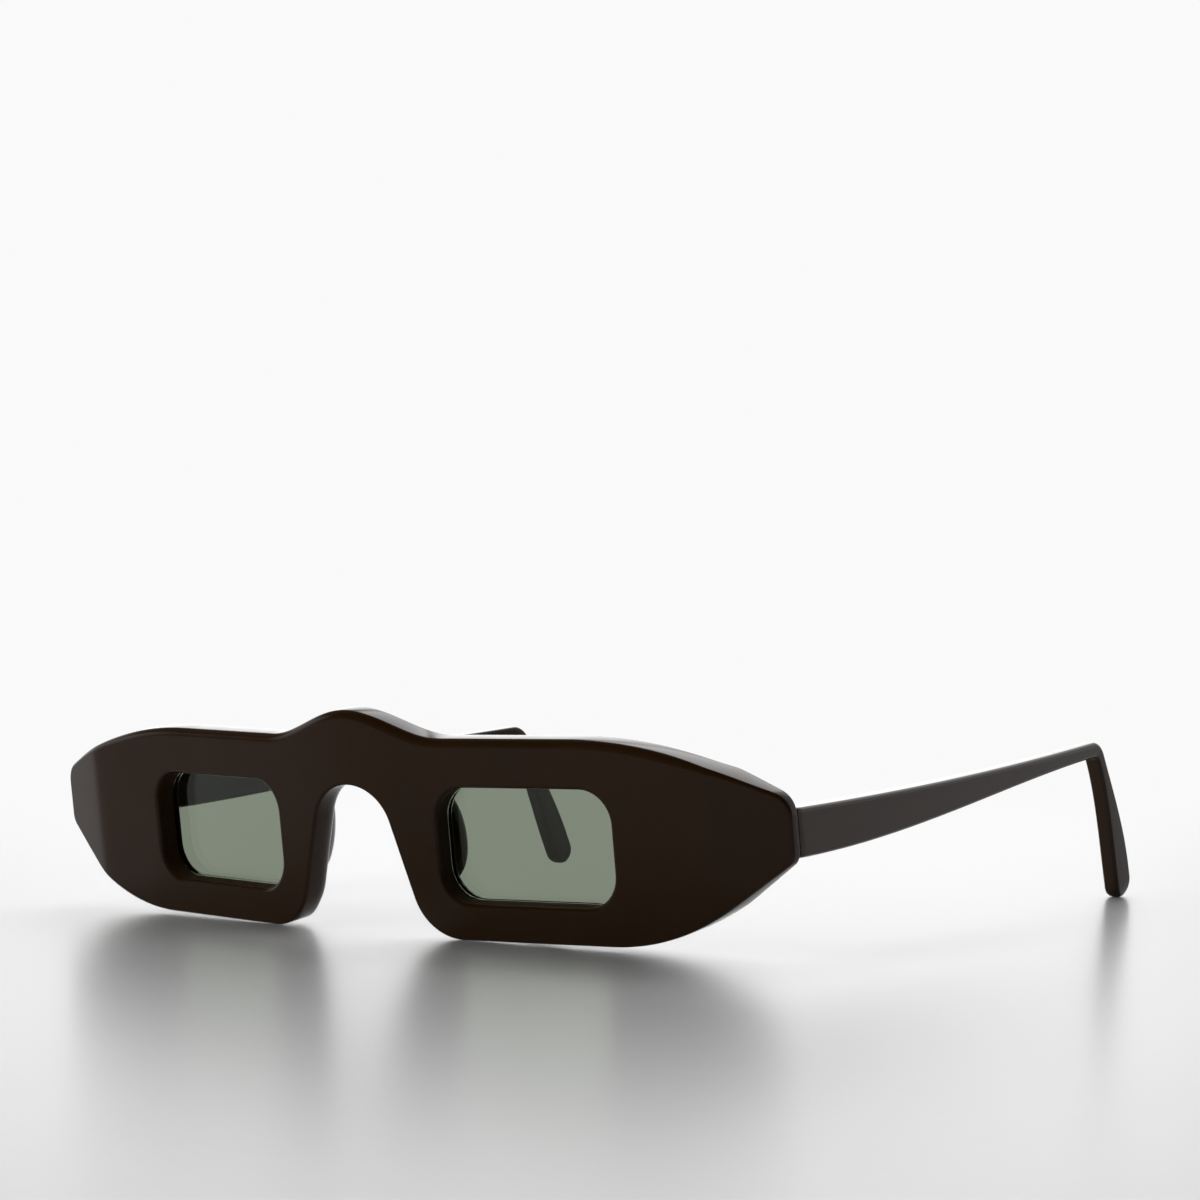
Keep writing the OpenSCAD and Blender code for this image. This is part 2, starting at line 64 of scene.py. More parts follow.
# Points closer than DOUBLES are one, triangles of a smaller doubled area than SLIVER are left
# out, and SNAP is the fill's own tolerance. ALL_SMOOTH keeps no edge sharp.
DOUBLES = 2e-7
SLIVER = 1e-6
SNAP = 1e-7
ALL_SMOOTH = 180


class Side(Enum):
    """Side of the wearer; the value is the sign of X."""

    LEFT = 1
    RIGHT = -1

    @property
    def word(self) -> str:
        """The side as the frame's node names have it."""
        return self.name.lower()


class Body(Enum):
    """CAD bodies that the pieces ride on."""

    FRONT = "front"
    LEFT_ARM = "left_arm"
    RIGHT_ARM = "right_arm"


class Slot(Enum):
    """Material slots of the record."""

    ACETATE = "acetate_black"
    LENS = "lens_smoke"
    STEEL = "hinge_steel"
    NICKEL = "core_nickel"


ARM = {Side.LEFT: Body.LEFT_ARM, Side.RIGHT: Body.RIGHT_ARM}
Finishes = dict[Slot, Material]


def ease(t: float) -> float:
    """Smooth step from 0 to 1."""
    c = min(max(t, 0.0), 1.0)
    return c * c * (3 - 2 * c)


def mix(a: float, b: float, t: float) -> float:
    """Value between a and b at share t."""
    return a + (b - a) * t


def quarter_turn(steps: int) -> list[Point2]:
    """Sine and cosine at even steps from 0 to 90 degrees."""
    angles = [math.pi / 2 * k / steps for k in range(steps + 1)]
    return [(math.sin(a), math.cos(a)) for a in angles]


def circle(r: float, z: float, n: int) -> list[Point3]:
    """The n points of a level circle of radius r about the Z axis."""
    angles = [2 * math.pi * i / n for i in range(n)]
    return [(r * math.cos(a), r * math.sin(a), z) for a in angles]


@dataclass(frozen=True)
class Stand:
    """How the front's frame is tipped and set down in the row frame."""

    tilt: float
    offset: Point2

    @classmethod
    def from_joint(cls, joint: dict, pin: Point3) -> "Stand":
        """Reads the tilt and the offset off the left hinge's joint.

        Args:
            joint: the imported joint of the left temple.
            pin: its pivot in the frame of the front, in millimetres.

        Returns:
            The stand.
        """
        _, ay, az = joint["axis"]
        tilt = math.atan2(-ay, az)
        _, py, pz = (c / MM for c in joint["pos_m"])
        y = pin[1] * math.cos(tilt) - pin[2] * math.sin(tilt)
        z = pin[2] * math.cos(tilt) + pin[1] * math.sin(tilt)
        return cls(tilt, (py - y, pz - z))

    def place(self, p: Sequence[float]) -> Vector:
        """Turns a point into the row frame.

        Args:
            p: the point (u, w, v) in millimetres.

        Returns:
            The point in metres.
        """
        u, w, v = p
        c, s = math.cos(self.tilt), math.sin(self.tilt)
        return Vector((u, w * c - v * s + self.offset[0], v * c + w * s + self.offset[1])) * MM

    def matrix(self) -> Matrix:
        """Matrix that does the same as place."""
        move = Matrix.Translation((0, self.offset[0] * MM, self.offset[1] * MM))
        return move @ Matrix.Rotation(self.tilt, 4, "X") @ Matrix.Diagonal((MM, MM, MM, 1))


# Node trees


class Nodes:
    """Helper that adds nodes to one tree and joins them."""

    def __init__(self, tree: bpy.types.NodeTree) -> None:
        """Takes a tree and empties it."""
        self.tree = tree
        tree.nodes.clear()

    def feed(self, socket: Socket, value: object) -> None:
        """Fills an input.

        Args:
            socket: the input.
            value: a constant, or an output to join to it.
        """
        if isinstance(value, Socket):
            self.tree.links.new(value, socket)
        else:
            socket.default_value = value

    def add(self, kind: str, inputs: dict | None = None, **values: object) -> bpy.types.Node:
        """Adds a node.

        Args:
            kind: the node's type name.
            inputs: constant or output for each input, by its name or place.
            values: properties of the node.

        Returns:
            The node.
        """
        node = self.tree.nodes.new(kind)
        for key, value in values.items():
            setattr(node, key, value)
        for key, value in (inputs or {}).items():
            self.feed(node.inputs[key], value)
        return node

    def math(self, operation: str, *values: Socket | float) -> Socket:
        """Result of a math node over outputs and numbers, in order."""
        return self.add("ShaderNodeMath", dict(enumerate(values)), operation=operation).outputs[0]

    def span(self, value: Socket, low: Socket | float, high: Socket | float,
             start: float = 0, end: float = 1, way: str = "SMOOTHSTEP") -> Socket:
        """Maps a value to a range that it doesn't leave.

        Args:
            value: the value.
            low: the result up to start.
            high: the result from end on.
            start: value at which the result starts to change.
            end: value at which it stops.
            way: how it runs between them.

        Returns:
            The result.
        """
        node = self.add("ShaderNodeMapRange", {
            "Value": value, "From Min": start, "From Max": end, "To Min": low, "To Max": high},
            interpolation_type=way)
        return node.outputs["Result"]

    def blend(self, share: Socket, a: Socket, b: Socket) -> Socket:
        """Shader between a and b by a share."""
        return self.add("ShaderNodeMixShader", {"Fac": share, 1: a, 2: b}).outputs["Shader"]


class Shader(Nodes):
    """One node material with an output and a Principled shader."""

    def __init__(self, name: str) -> None:
        """Makes the material.

        Args:
            name: its name.
        """
        self.material = bpy.data.materials.new(name)
        self.material.use_nodes = True
        super().__init__(self.material.node_tree)
        self.surface = self.add("ShaderNodeBsdfPrincipled")
        self.output = self.add("ShaderNodeOutputMaterial",
                               {"Surface": self.surface.outputs["BSDF"]})

    def coordinates(self, scale: Point3 = (1, 1, 1)) -> Socket:
        """Object coordinates, stretched by scale."""
        where = self.add("ShaderNodeTexCoord").outputs["Object"]
        return self.add("ShaderNodeMapping", {"Scale": scale, "Vector": where}).outputs["Vector"]

    def noise(self, scale: float, detail: float, stretch: Point3 = (1, 1, 1)) -> Socket:
        """Noise over object coordinates, from its cells per metre, octaves and stretch."""
        return self.add("ShaderNodeTexNoise", {
            "Scale": scale, "Detail": detail, "Vector": self.coordinates(stretch)}).outputs["Fac"]

    def spread(self, value: Socket, low: float, high: float,
               start: float = 0.3, end: float = 0.7) -> Socket:
        """Maps start..end, at first the middle of a noise, evenly to low..high."""
        return self.span(value, low, high, start, end, "LINEAR")

    def tones(self, value: Socket, dark: Point3, pale: Point3) -> Socket:
        """Colour from dark to pale.

        Args:
            value: share of the pale colour.
            dark: colour at 0.
            pale: colour at 1.

        Returns:
            The colour.
        """
        ramp = self.add("ShaderNodeValToRGB", {"Fac": value})
        for stop, colour in zip(ramp.color_ramp.elements, (dark, pale)):
            stop.color = (*colour, 1)
        return ramp.outputs["Color"]

    def bump(self, height: Socket, strength: float, distance: float) -> None:
        """Raises the surface by a height, over a distance in metres."""
        node = self.add("ShaderNodeBump", {
            "Height": height, "Strength": strength, "Distance": distance})
        self.feed(self.surface.inputs["Normal"], node.outputs["Normal"])

    def fix(self, **values: Socket | float) -> None:
        """Fills the Principled shader's own sockets."""
        for key, value in values.items():
            self.feed(self.surface.inputs[key.replace("_", " ")], value)


# Finishes


@dataclass(frozen=True)
class Acetate:
    """Polished black acetate: near black, a soft sheen, a faint wave and a fine grain."""

    name: str = "BlackAcetate"
    dark: Point3 = (0.036, 0.0155, 0.0042)
    pale: Point3 = (0.042, 0.0190, 0.0062)
    cloud: Point2 = (70, 3)
    grain: Point2 = (420, 3)
    roughness: Point2 = (0.11, 0.16)
    sawn_roughness: float = 0.65
    specular: Point2 = (0.27, 0.12)
    wave: Point2 = (38, 2)
    wave_bump: Point2 = (0.2, 0.0003)
    ior: float = 1.49

    def build(self) -> Material:
        """Makes the material; the point attribute "sawn" marks walls left unpolished.

        Returns:
            The material.
        """
        s = Shader(self.name)
        cloud = s.spread(s.noise(*self.cloud), 0, 1)
        sawn = s.add("ShaderNodeAttribute", attribute_name="sawn").outputs["Fac"]
        rough = s.add("ShaderNodeMix", {
            "Factor": sawn, "A": s.spread(s.noise(*self.grain), *self.roughness),
            "B": self.sawn_roughness})
        s.bump(s.noise(*self.wave), *self.wave_bump)
        s.fix(Base_Color=s.tones(cloud, self.dark, self.pale), Roughness=rough.outputs["Result"],
              Specular_IOR_Level=s.spread(sawn, *self.specular, 0, 1), IOR=self.ior)
        return s.material


@dataclass(frozen=True)
class LensTint:
    """Smoke-green tinted lens with clear polish."""

    name: str = "SmokeGreenLens"
    tint: Point3 = (0.222, 0.260, 0.197)
    shade: Point2 = (30, 2)
    uneven: float = 0.015
    ior: float = 1.5

    def build(self) -> Material:
        """Makes the material.

        Returns:
            The material.
        """
        s = Shader(self.name)
        low, high = (tuple(c * k for c in self.tint) for k in (1 - self.uneven, 1 + self.uneven))
        s.fix(Base_Color=s.tones(s.noise(*self.shade), low, high), IOR=self.ior, Roughness=0.0,
              Transmission_Weight=1.0)
        return s.material


@dataclass(frozen=True)
class HingeMetal:
    """Satin metal with fine marks along one way."""

    name: str
    dark: Point3
    pale: Point3
    roughness: Point2 = (0.24, 0.4)
    marks: Point2 = (900, 4)
    stretch: Point3 = (1, 1, 14)
    mark_bump: Point2 = (0.15, 0.00002)

    def build(self) -> Material:
        """Makes the material.

        Returns:
            The material.
        """
        s = Shader(self.name)
        marks = s.noise(*self.marks, self.stretch)
        s.bump(marks, *self.mark_bump)
        s.fix(Base_Color=s.tones(marks, self.dark, self.pale),
              Roughness=s.spread(marks, *self.roughness), Metallic=1.0)
        return s.material


@dataclass(frozen=True)
class FloorSatin:
    """Pale satin coat of the floor, which turns into the plain backdrop further out."""

    backdrop: Point3
    name: str = "PaleSatinFloor"
    dark: Point3 = (0.72, 0.72, 0.725)
    pale: Point3 = (0.78, 0.78, 0.785)
    roughness: Point2 = (0.5, 0.6)
    brush: Point2 = (2600, 4)
    stretch: Point3 = (0.1, 1, 1)
    brush_bump: Point2 = (0.05, 0.00002)
    ior: float = 1.5
    specular: float = 0.15
    coat: float = 0.75
    coat_roughness: float = 0.25
    middle: Point3 = (0.12, -0.16, 0)
    fades: tuple[tuple[str, float, float], ...] = (
        ("Is Camera Ray", 0.22, 0.6), ("Is Transmission Ray", 0.0, 0.12))

    def build(self) -> Material:
        """Makes the material.

        Returns:
            The material.
        """
        s = Shader(self.name)
        brushed = s.noise(*self.brush, self.stretch)
        s.bump(brushed, *self.brush_bump)
        s.fix(Base_Color=s.tones(brushed, self.dark, self.pale),
              Roughness=s.spread(brushed, *self.roughness), IOR=self.ior,
              Specular_IOR_Level=self.specular, Coat_Weight=self.coat,
              Coat_Roughness=self.coat_roughness)
        away = s.add("ShaderNodeVectorMath", {0: s.coordinates(), 1: self.middle},
                     operation="DISTANCE").outputs["Value"]
        rays = s.add("ShaderNodeLightPath").outputs
        shares = [s.math("MULTIPLY", s.span(away, 0, 1, start, end), rays[ray])
                  for ray, start, end in self.fades]
        glow = s.add("ShaderNodeEmission", {"Color": (*self.backdrop, 1)}).outputs["Emission"]
        s.feed(s.output.inputs["Surface"],
               s.blend(s.math("MAXIMUM", *shares), s.surface.outputs["BSDF"], glow))
        return s.material


def make_finishes() -> Finishes:
    """Builds the material of each slot once.

    Returns:
        The materials.
    """
    return {
        Slot.ACETATE: Acetate().build(),
        Slot.LENS: LensTint().build(),
        Slot.STEEL: HingeMetal("HingeSteel", (0.42, 0.42, 0.44), (0.66, 0.66, 0.68)).build(),
        Slot.NICKEL: HingeMetal("NickelSilver", (0.44, 0.41, 0.35), (0.68, 0.64, 0.56)).build(),
    }


def dress(piece: Piece, finishes: Finishes, slot: Slot, body: Body | None = None,
          stands_for: Sequence[str] = ()) -> Piece:
    """Gives a piece its finish, its body and the CAD nodes that it stands for.

    Args:
        piece: the piece.
        finishes: the material of each slot.
        slot: the piece's slot.
        body: the body that it rides on, if it is new.
        stands_for: the CAD nodes that it replaces.

    Returns:
        The piece.
    """
    piece.data.materials.clear()
    piece.data.materials.append(finishes[slot])
    if body is not None:
        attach(piece, body.value)
    if stands_for:
        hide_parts(*stands_for)
    return piece


# Meshes


def link_object(name: str, mesh: bpy.types.Mesh) -> Piece:
    """Makes an object of a mesh in the scene.

    Args:
        name: the object's name.
        mesh: its mesh.

    Returns:
        The object.
    """
    piece = bpy.data.objects.new(name, mesh)
    bpy.context.scene.collection.objects.link(piece)
    return piece


def new_object(name: str, points: Sequence[Sequence[float]],
               edges: Sequence[Sequence[int]] = (), faces: Sequence[Sequence[int]] = ()) -> Piece:
    """Makes an object of points, edges and faces.

    Args:
        name: the object's name.
        points: places of its points.
        edges: pairs of points.
        faces: rings of points.

    Returns:
        The object.
    """
    mesh = bpy.data.meshes.new(name)
    mesh.from_pydata(points, edges, faces)
    return link_object(name, mesh)


def shade_smooth(bm: bmesh.types.BMesh, mesh: bpy.types.Mesh, sharp: float) -> None:
    """Writes a mesh back, smooth but for its sharp edges.

    Args:
        bm: the edited mesh, which is freed.
        mesh: the mesh to write to.
        sharp: angle in degrees past which an edge stays sharp.
    """
    for face in bm.faces:
        face.smooth = True
    bm.to_mesh(mesh)
    bm.free()
    mesh.set_sharp_from_angle(angle=math.radians(sharp))


def tidy_mesh(mesh: bpy.types.Mesh, sharp: float) -> None:
    """Merges doubles, turns faces outwards and shades smooth.

    Args:
        mesh: the mesh.
        sharp: angle in degrees past which an edge stays sharp.
    """
    bm = bmesh.new()
    bm.from_mesh(mesh)
    bmesh.ops.remove_doubles(bm, verts=bm.verts, dist=DOUBLES)
    bmesh.ops.delete(bm, geom=[v for v in bm.verts if not v.link_faces], context="VERTS")
    bmesh.ops.recalc_face_normals(bm, faces=bm.faces)
    shade_smooth(bm, mesh, sharp)


def baked(piece: Piece) -> Piece:
    """Turns an object with modifiers into a plain mesh object of the same name.

    Args:
        piece: the object, which is removed.

    Returns:
        The plain object.
    """
    graph = bpy.context.evaluated_depsgraph_get()
    mesh = bpy.data.meshes.new_from_object(piece.evaluated_get(graph))
    name = piece.name
    bpy.data.objects.remove(piece)
    return link_object(name, mesh)


def box(place: Matrix, size: Point3) -> Piece:
    """Makes a box to cut with.

    Args:
        place: its middle and turn.
        size: its sides.

    Returns:
        The box.
    """
    bpy.ops.mesh.primitive_cube_add(size=1)
    cutter = bpy.context.object
    cutter.matrix_world = place @ Matrix.Diagonal((*size, 1))
    return cutter


def cut_out(piece: Piece, cutter: Piece) -> Piece:
    """Cuts one object out of another.

    Args:
        piece: the object that is cut.
        cutter: the object that cuts, which is removed.

    Returns:
        The cut object, under the same name.
    """
    step = piece.modifiers.new("cut", "BOOLEAN")
    step.object, step.operation, step.solver = cutter, "DIFFERENCE", "EXACT"
    bpy.context.view_layer.update()
    shaped = baked(piece)
    bpy.data.objects.remove(cutter)
    return shaped


def inside(p: Vector, ring: Sequence[Point2]) -> bool:
    """Whether a point lies inside a closed ring.

    Args:
        p: the point.
        ring: the ring's points.

    Returns:
        True inside the ring.
    """
    hit = False
    for (x, y), (xj, yj) in zip(ring, [ring[-1], *ring]):
        if (y > p[1]) != (yj > p[1]) and p[0] < (xj - x) * (p[1] - y) / (yj - y) + x:
            hit = not hit
    return hit


def within(p: Vector, rings: Sequence[Sequence[Point2]]) -> bool:
    """Whether a point lies inside the first ring and outside the others."""
    return inside(p, rings[0]) and not any(inside(p, ring) for ring in rings[1:])


def evenly(line: Sequence[Point2], gap: float) -> list[Point2]:
    """Spaces points evenly along a polyline, with both ends kept.

    Args:
        line: the polyline.
        gap: the spacing to come close to.

    Returns:
        The new points.
    """
    lengths = [0.0]
    for a, b in zip(line, line[1:]):
        lengths.append(lengths[-1] + math.hypot(b[0] - a[0], b[1] - a[1]))
    n = max(2, round(lengths[-1] / gap))
    out, k = [], 0
    for i in range(n + 1):
        want = lengths[-1] * i / n
        while k < len(lengths) - 2 and lengths[k + 1] < want:
            k += 1
        t = (want - lengths[k]) / max(lengths[k + 1] - lengths[k], sys.float_info.epsilon)
        out.append((mix(line[k][0], line[k + 1][0], t), mix(line[k][1], line[k + 1][1], t)))
    return out


class Shell:
    """Collects points and faces of one piece in the frame of the front."""

    def __init__(self) -> None:
        """Starts with nothing."""
        self.points: list[Point3] = []
        self.faces: list[tuple[int, ...]] = []
        self.sawn: set[int] = set()

    def ring(self, points: Sequence[Point3]) -> list[int]:
        """Adds points and gives their numbers."""
        self.points += points
        return list(range(len(self.points) - len(points), len(self.points)))

    def flat(self, numbers: Sequence[int]) -> list[Point2]:
        """Places (u, v) of points."""
        return [(self.points[i][0], self.points[i][2]) for i in numbers]

    def loft(self, loops: Sequence[Sequence[Point3]]) -> list[list[int]]:
        """Adds closed loops with the same number of points and joins each to the next.

        Args:
            loops: the loops.

        Returns:
            The numbers of each loop's points.
        """
        rings = [self.ring(loop) for loop in loops]
        for a, b in zip(rings, rings[1:]):
            self.faces += [(a[i - 1], a[i], b[i], b[i - 1]) for i in (*range(1, len(a)), 0)]
        return rings

    def fill(self, loops: Sequence[Sequence[int]], surface: Callable[[float], float],
             extra: Sequence[Point2]) -> None:
        """Fills the region between an outer ring and holes with even triangles.

        Args:
            loops: numbers of the outer ring's points, then of each hole's.
            surface: depth of the surface at a distance u from the middle.
            extra: points (u, v) inside the region.
        """
        numbers = [i for loop in loops for i in loop]
        flat = [Vector(p) for p in (*self.flat(numbers), *extra)]
        edges: list[tuple[int, int]] = []
        for loop in loops:
            start, n = len(edges), len(loop)
            edges += [(start + k, start + (k + 1) % n) for k in range(n)]
        numbers += self.ring([(u, surface(u), v) for u, v in extra])
        places, _, triangles, origin, _, _ = delaunay_2d_cdt(flat, edges, [], 0, SNAP)
        rings = [self.flat(loop) for loop in loops]
        for triangle in triangles:
            a, b, c = (places[k] for k in triangle)
            if abs((b - a).cross(c - a)) >= SLIVER and within((a + b + c) / 3, rings):
                self.faces.append(tuple(numbers[origin[k][0]] for k in triangle))

    def to_object(self, name: str, stand: Stand, sharp: float = 32) -> Piece:
        """Makes a smooth-shaded object, with its place in its mesh.

        Args:
            name: the object's name.
            stand: the stand of the front's frame.
            sharp: angle in degrees past which an edge stays sharp.

        Returns:
            The object.
        """
        piece = new_object(name, [stand.place(p) for p in self.points], faces=self.faces)
        piece.data.attributes.new("sawn", "FLOAT", "POINT").data.foreach_set(
            "value", [float(i in self.sawn) for i in range(len(self.points))])
        tidy_mesh(piece.data, sharp)
        return piece


class Graph(Nodes):
    """Geometry node tree with named inputs."""

    def __init__(self, name: str, inputs: dict[str, str]) -> None:
        """Makes a tree with a geometry input and output.

        Args:
            name: the tree's name.
            inputs: kind of each further input, by its name.
        """
        super().__init__(bpy.data.node_groups.new(name, "GeometryNodeTree"))
        for way, sockets in (("INPUT", {"Geometry": "Geometry", **inputs}),
                             ("OUTPUT", {"Geometry": "Geometry"})):
            for label, kind in sockets.items():
                self.tree.interface.new_socket(label, in_out=way, socket_type="NodeSocket" + kind)
        self.source = self.add("NodeGroupInput").outputs
        self.sink = self.add("NodeGroupOutput").inputs

    def named(self, label: str) -> Socket:
        """A named point attribute."""
        return self.add("GeometryNodeInputNamedAttribute", {"Name": label},
                        data_type="FLOAT").outputs["Attribute"]

    def finish(self, geometry: Socket, finish: Material) -> None:
        """Ends the tree in Realize Instances and Set Material.

        Args:
            geometry: what the tree made.
            finish: its material.
        """
        real = self.add("GeometryNodeRealizeInstances", {"Geometry": geometry})
        paint = self.add("GeometryNodeSetMaterial", {
            "Geometry": real.outputs["Geometry"], "Material": finish})
        self.feed(self.sink["Geometry"], paint.outputs["Geometry"])

    def apply(self, piece: Piece, values: dict[str, object]) -> Piece:
        """Shapes an object with the tree.

        Args:
            piece: the object, which is removed.
            values: the tree's inputs by name, which are set by their identifiers.

        Returns:
            The result as a plain mesh object of the same name.
        """
        modifier = piece.modifiers.new(self.tree.name, "NODES")
        modifier.node_group = self.tree
        for item in self.tree.interface.items_tree:
            if item.in_out == "INPUT" and item.name in values:
                modifier[item.identifier] = values[item.name]
        bpy.context.view_layer.update()
        return baked(piece)


# Hinges


@dataclass
class Hinge:
    """Both three-knuckle hinges: the left pin's place, the leaves and the screws."""

    pin_u: float = 66.7
    pin_w: float = 14.1751
    pin_v: float = 15.775
    height: float = 4.8
    temple_in: float = 68.5
    leaf_back: float = 1.2
    leaf_t: float = 1.0
    leaf_gap: float = 0.03
    screw_r: float = 0.6
    screw_soft: float = 0.12
    head_r: float = 0.95
    head_h: float = 0.55
    head_under: float = 0.02
    head_soft: float = 0.16
    head_mid: float = 0.05
    slot: Point3 = (0.3, 3, 0.3)
    slot_turn: float = 34
    facets: int = 48
    bevel: float = 0.09
    cad_doubles: float = 1e-6
    flat_turn: float = 1
    bevel_turn: float = 40
    sharp: float = 35

    @property
    def leaf_u(self) -> float:
        """Middle of the front leaf, from the middle of the front."""
        return (self.pin_u + self.temple_in - self.leaf_back) / 2

    @property
    def pin(self) -> Point3:
        """The pin's middle on the left side."""
        return self.pin_u, self.pin_w, self.pin_v

    def softened(self, node: str, name: str) -> Piece:
        """A copy of a CAD hinge leaf with its doubles merged and its edges softened.

        Args:
            node: the CAD node.
            name: the piece's name.

        Returns:
            The piece.
        """
        mesh = frame["nodes"][node].data.copy()
        mesh.name = name
        bm = bmesh.new()
        bm.from_mesh(mesh)
        bmesh.ops.remove_doubles(bm, verts=bm.verts, dist=self.cad_doubles)
        bmesh.ops.dissolve_limit(bm, angle_limit=math.radians(self.flat_turn), verts=bm.verts,
                                 edges=bm.edges)
        sharp = [e for e in bm.edges if len(e.link_faces) == 2
                 and e.calc_face_angle(0) > math.radians(self.bevel_turn)]
        bmesh.ops.bevel(bm, geom=sharp, offset=self.bevel * MM, segments=2, profile=0.5,
                        affect="EDGES", clamp_overlap=True)
        shade_smooth(bm, mesh, self.sharp)
        return link_object(name, mesh)

    def screw(self) -> Piece:
        """Makes one slotted screw about its own axis, its middle at the hinge's middle.

        Returns:
            The screw, in millimetres.
        """
        shell, top = Shell(), self.height / 2
        profile = [(self.screw_r - self.screw_soft, -top),
                   (self.screw_r, -top + self.screw_soft),
                   (self.screw_r, top - self.head_h),
                   (self.head_r, top - self.head_h + self.head_under),
                   (self.head_r, top - self.head_soft),
                   (self.head_r - self.head_mid, top - self.head_mid),
                   (self.head_r - self.head_soft, top)]
        rings = shell.loft([circle(r, z, self.facets) for r, z in profile])
        shell.faces += [tuple(rings[0][::-1]), tuple(rings[-1])]
        screw = new_object("ScrewShape", shell.points, faces=shell.faces)
        tidy_mesh(screw.data, self.sharp)
        width, length, depth = self.slot
        return cut_out(screw, box(Matrix.Translation((0, 0, top)), (width, length, 2 * depth)))

    def screws(self, stand: Stand, finish: Material) -> Piece:
        """Sets both screws on the two pins by geometry nodes.

        Args:
            stand: the stand of the front's frame.
            finish: the screws' finish.

        Returns:
            The two screws as one piece.
        """
        shape = self.screw()
        pins = [(side.value * self.pin_u, self.pin_w, self.pin_v) for side in Side]
        g = Graph("ScrewSetter", {"Screw": "Object", "Turn": "Float"})
        info = g.add("GeometryNodeObjectInfo", {"Object": g.source["Screw"]})
        spin = g.add("ShaderNodeCombineXYZ", {"Z": g.source["Turn"]})
        put = g.add("GeometryNodeInstanceOnPoints", {
            "Points": g.source["Geometry"], "Instance": info.outputs["Geometry"],
            "Rotation": spin.outputs["Vector"]})
        g.finish(put.outputs["Instances"], finish)
        screws = g.apply(new_object("HingeScrews", pins),
                         {"Screw": shape, "Turn": math.radians(self.slot_turn)})
        bpy.data.objects.remove(shape)
        screws.data.transform(stand.matrix())
        return screws

    def build(self, stand: Stand, finishes: Finishes) -> list[Piece]:
        """Builds and dresses the screws and the four leaves.

        Args:
            stand: the stand of the front's frame.
            finishes: the material of each slot.

        Returns:
            The pieces.
        """
        pieces = [dress(self.screws(stand, finishes[Slot.NICKEL]), finishes, Slot.NICKEL,
                        Body.FRONT, ["hinge_screw_" + side.word for side in Side])]
        for side in Side:
            for node, name, body in (("hinge_front_" + side.word, "HingeFront", Body.FRONT),
                                     ("hinge_temple_" + side.word, "HingeTemple", ARM[side])):
                leaf = self.softened(node, name + side.word.title())
                pieces.append(dress(leaf, finishes, Slot.STEEL, body, [node]))
        return pieces


# Front


class Edge(NamedTuple):
    """The front's edge at one point: front rounding, rear inset and rear depth."""

    front: float
    inset: float
    depth: float


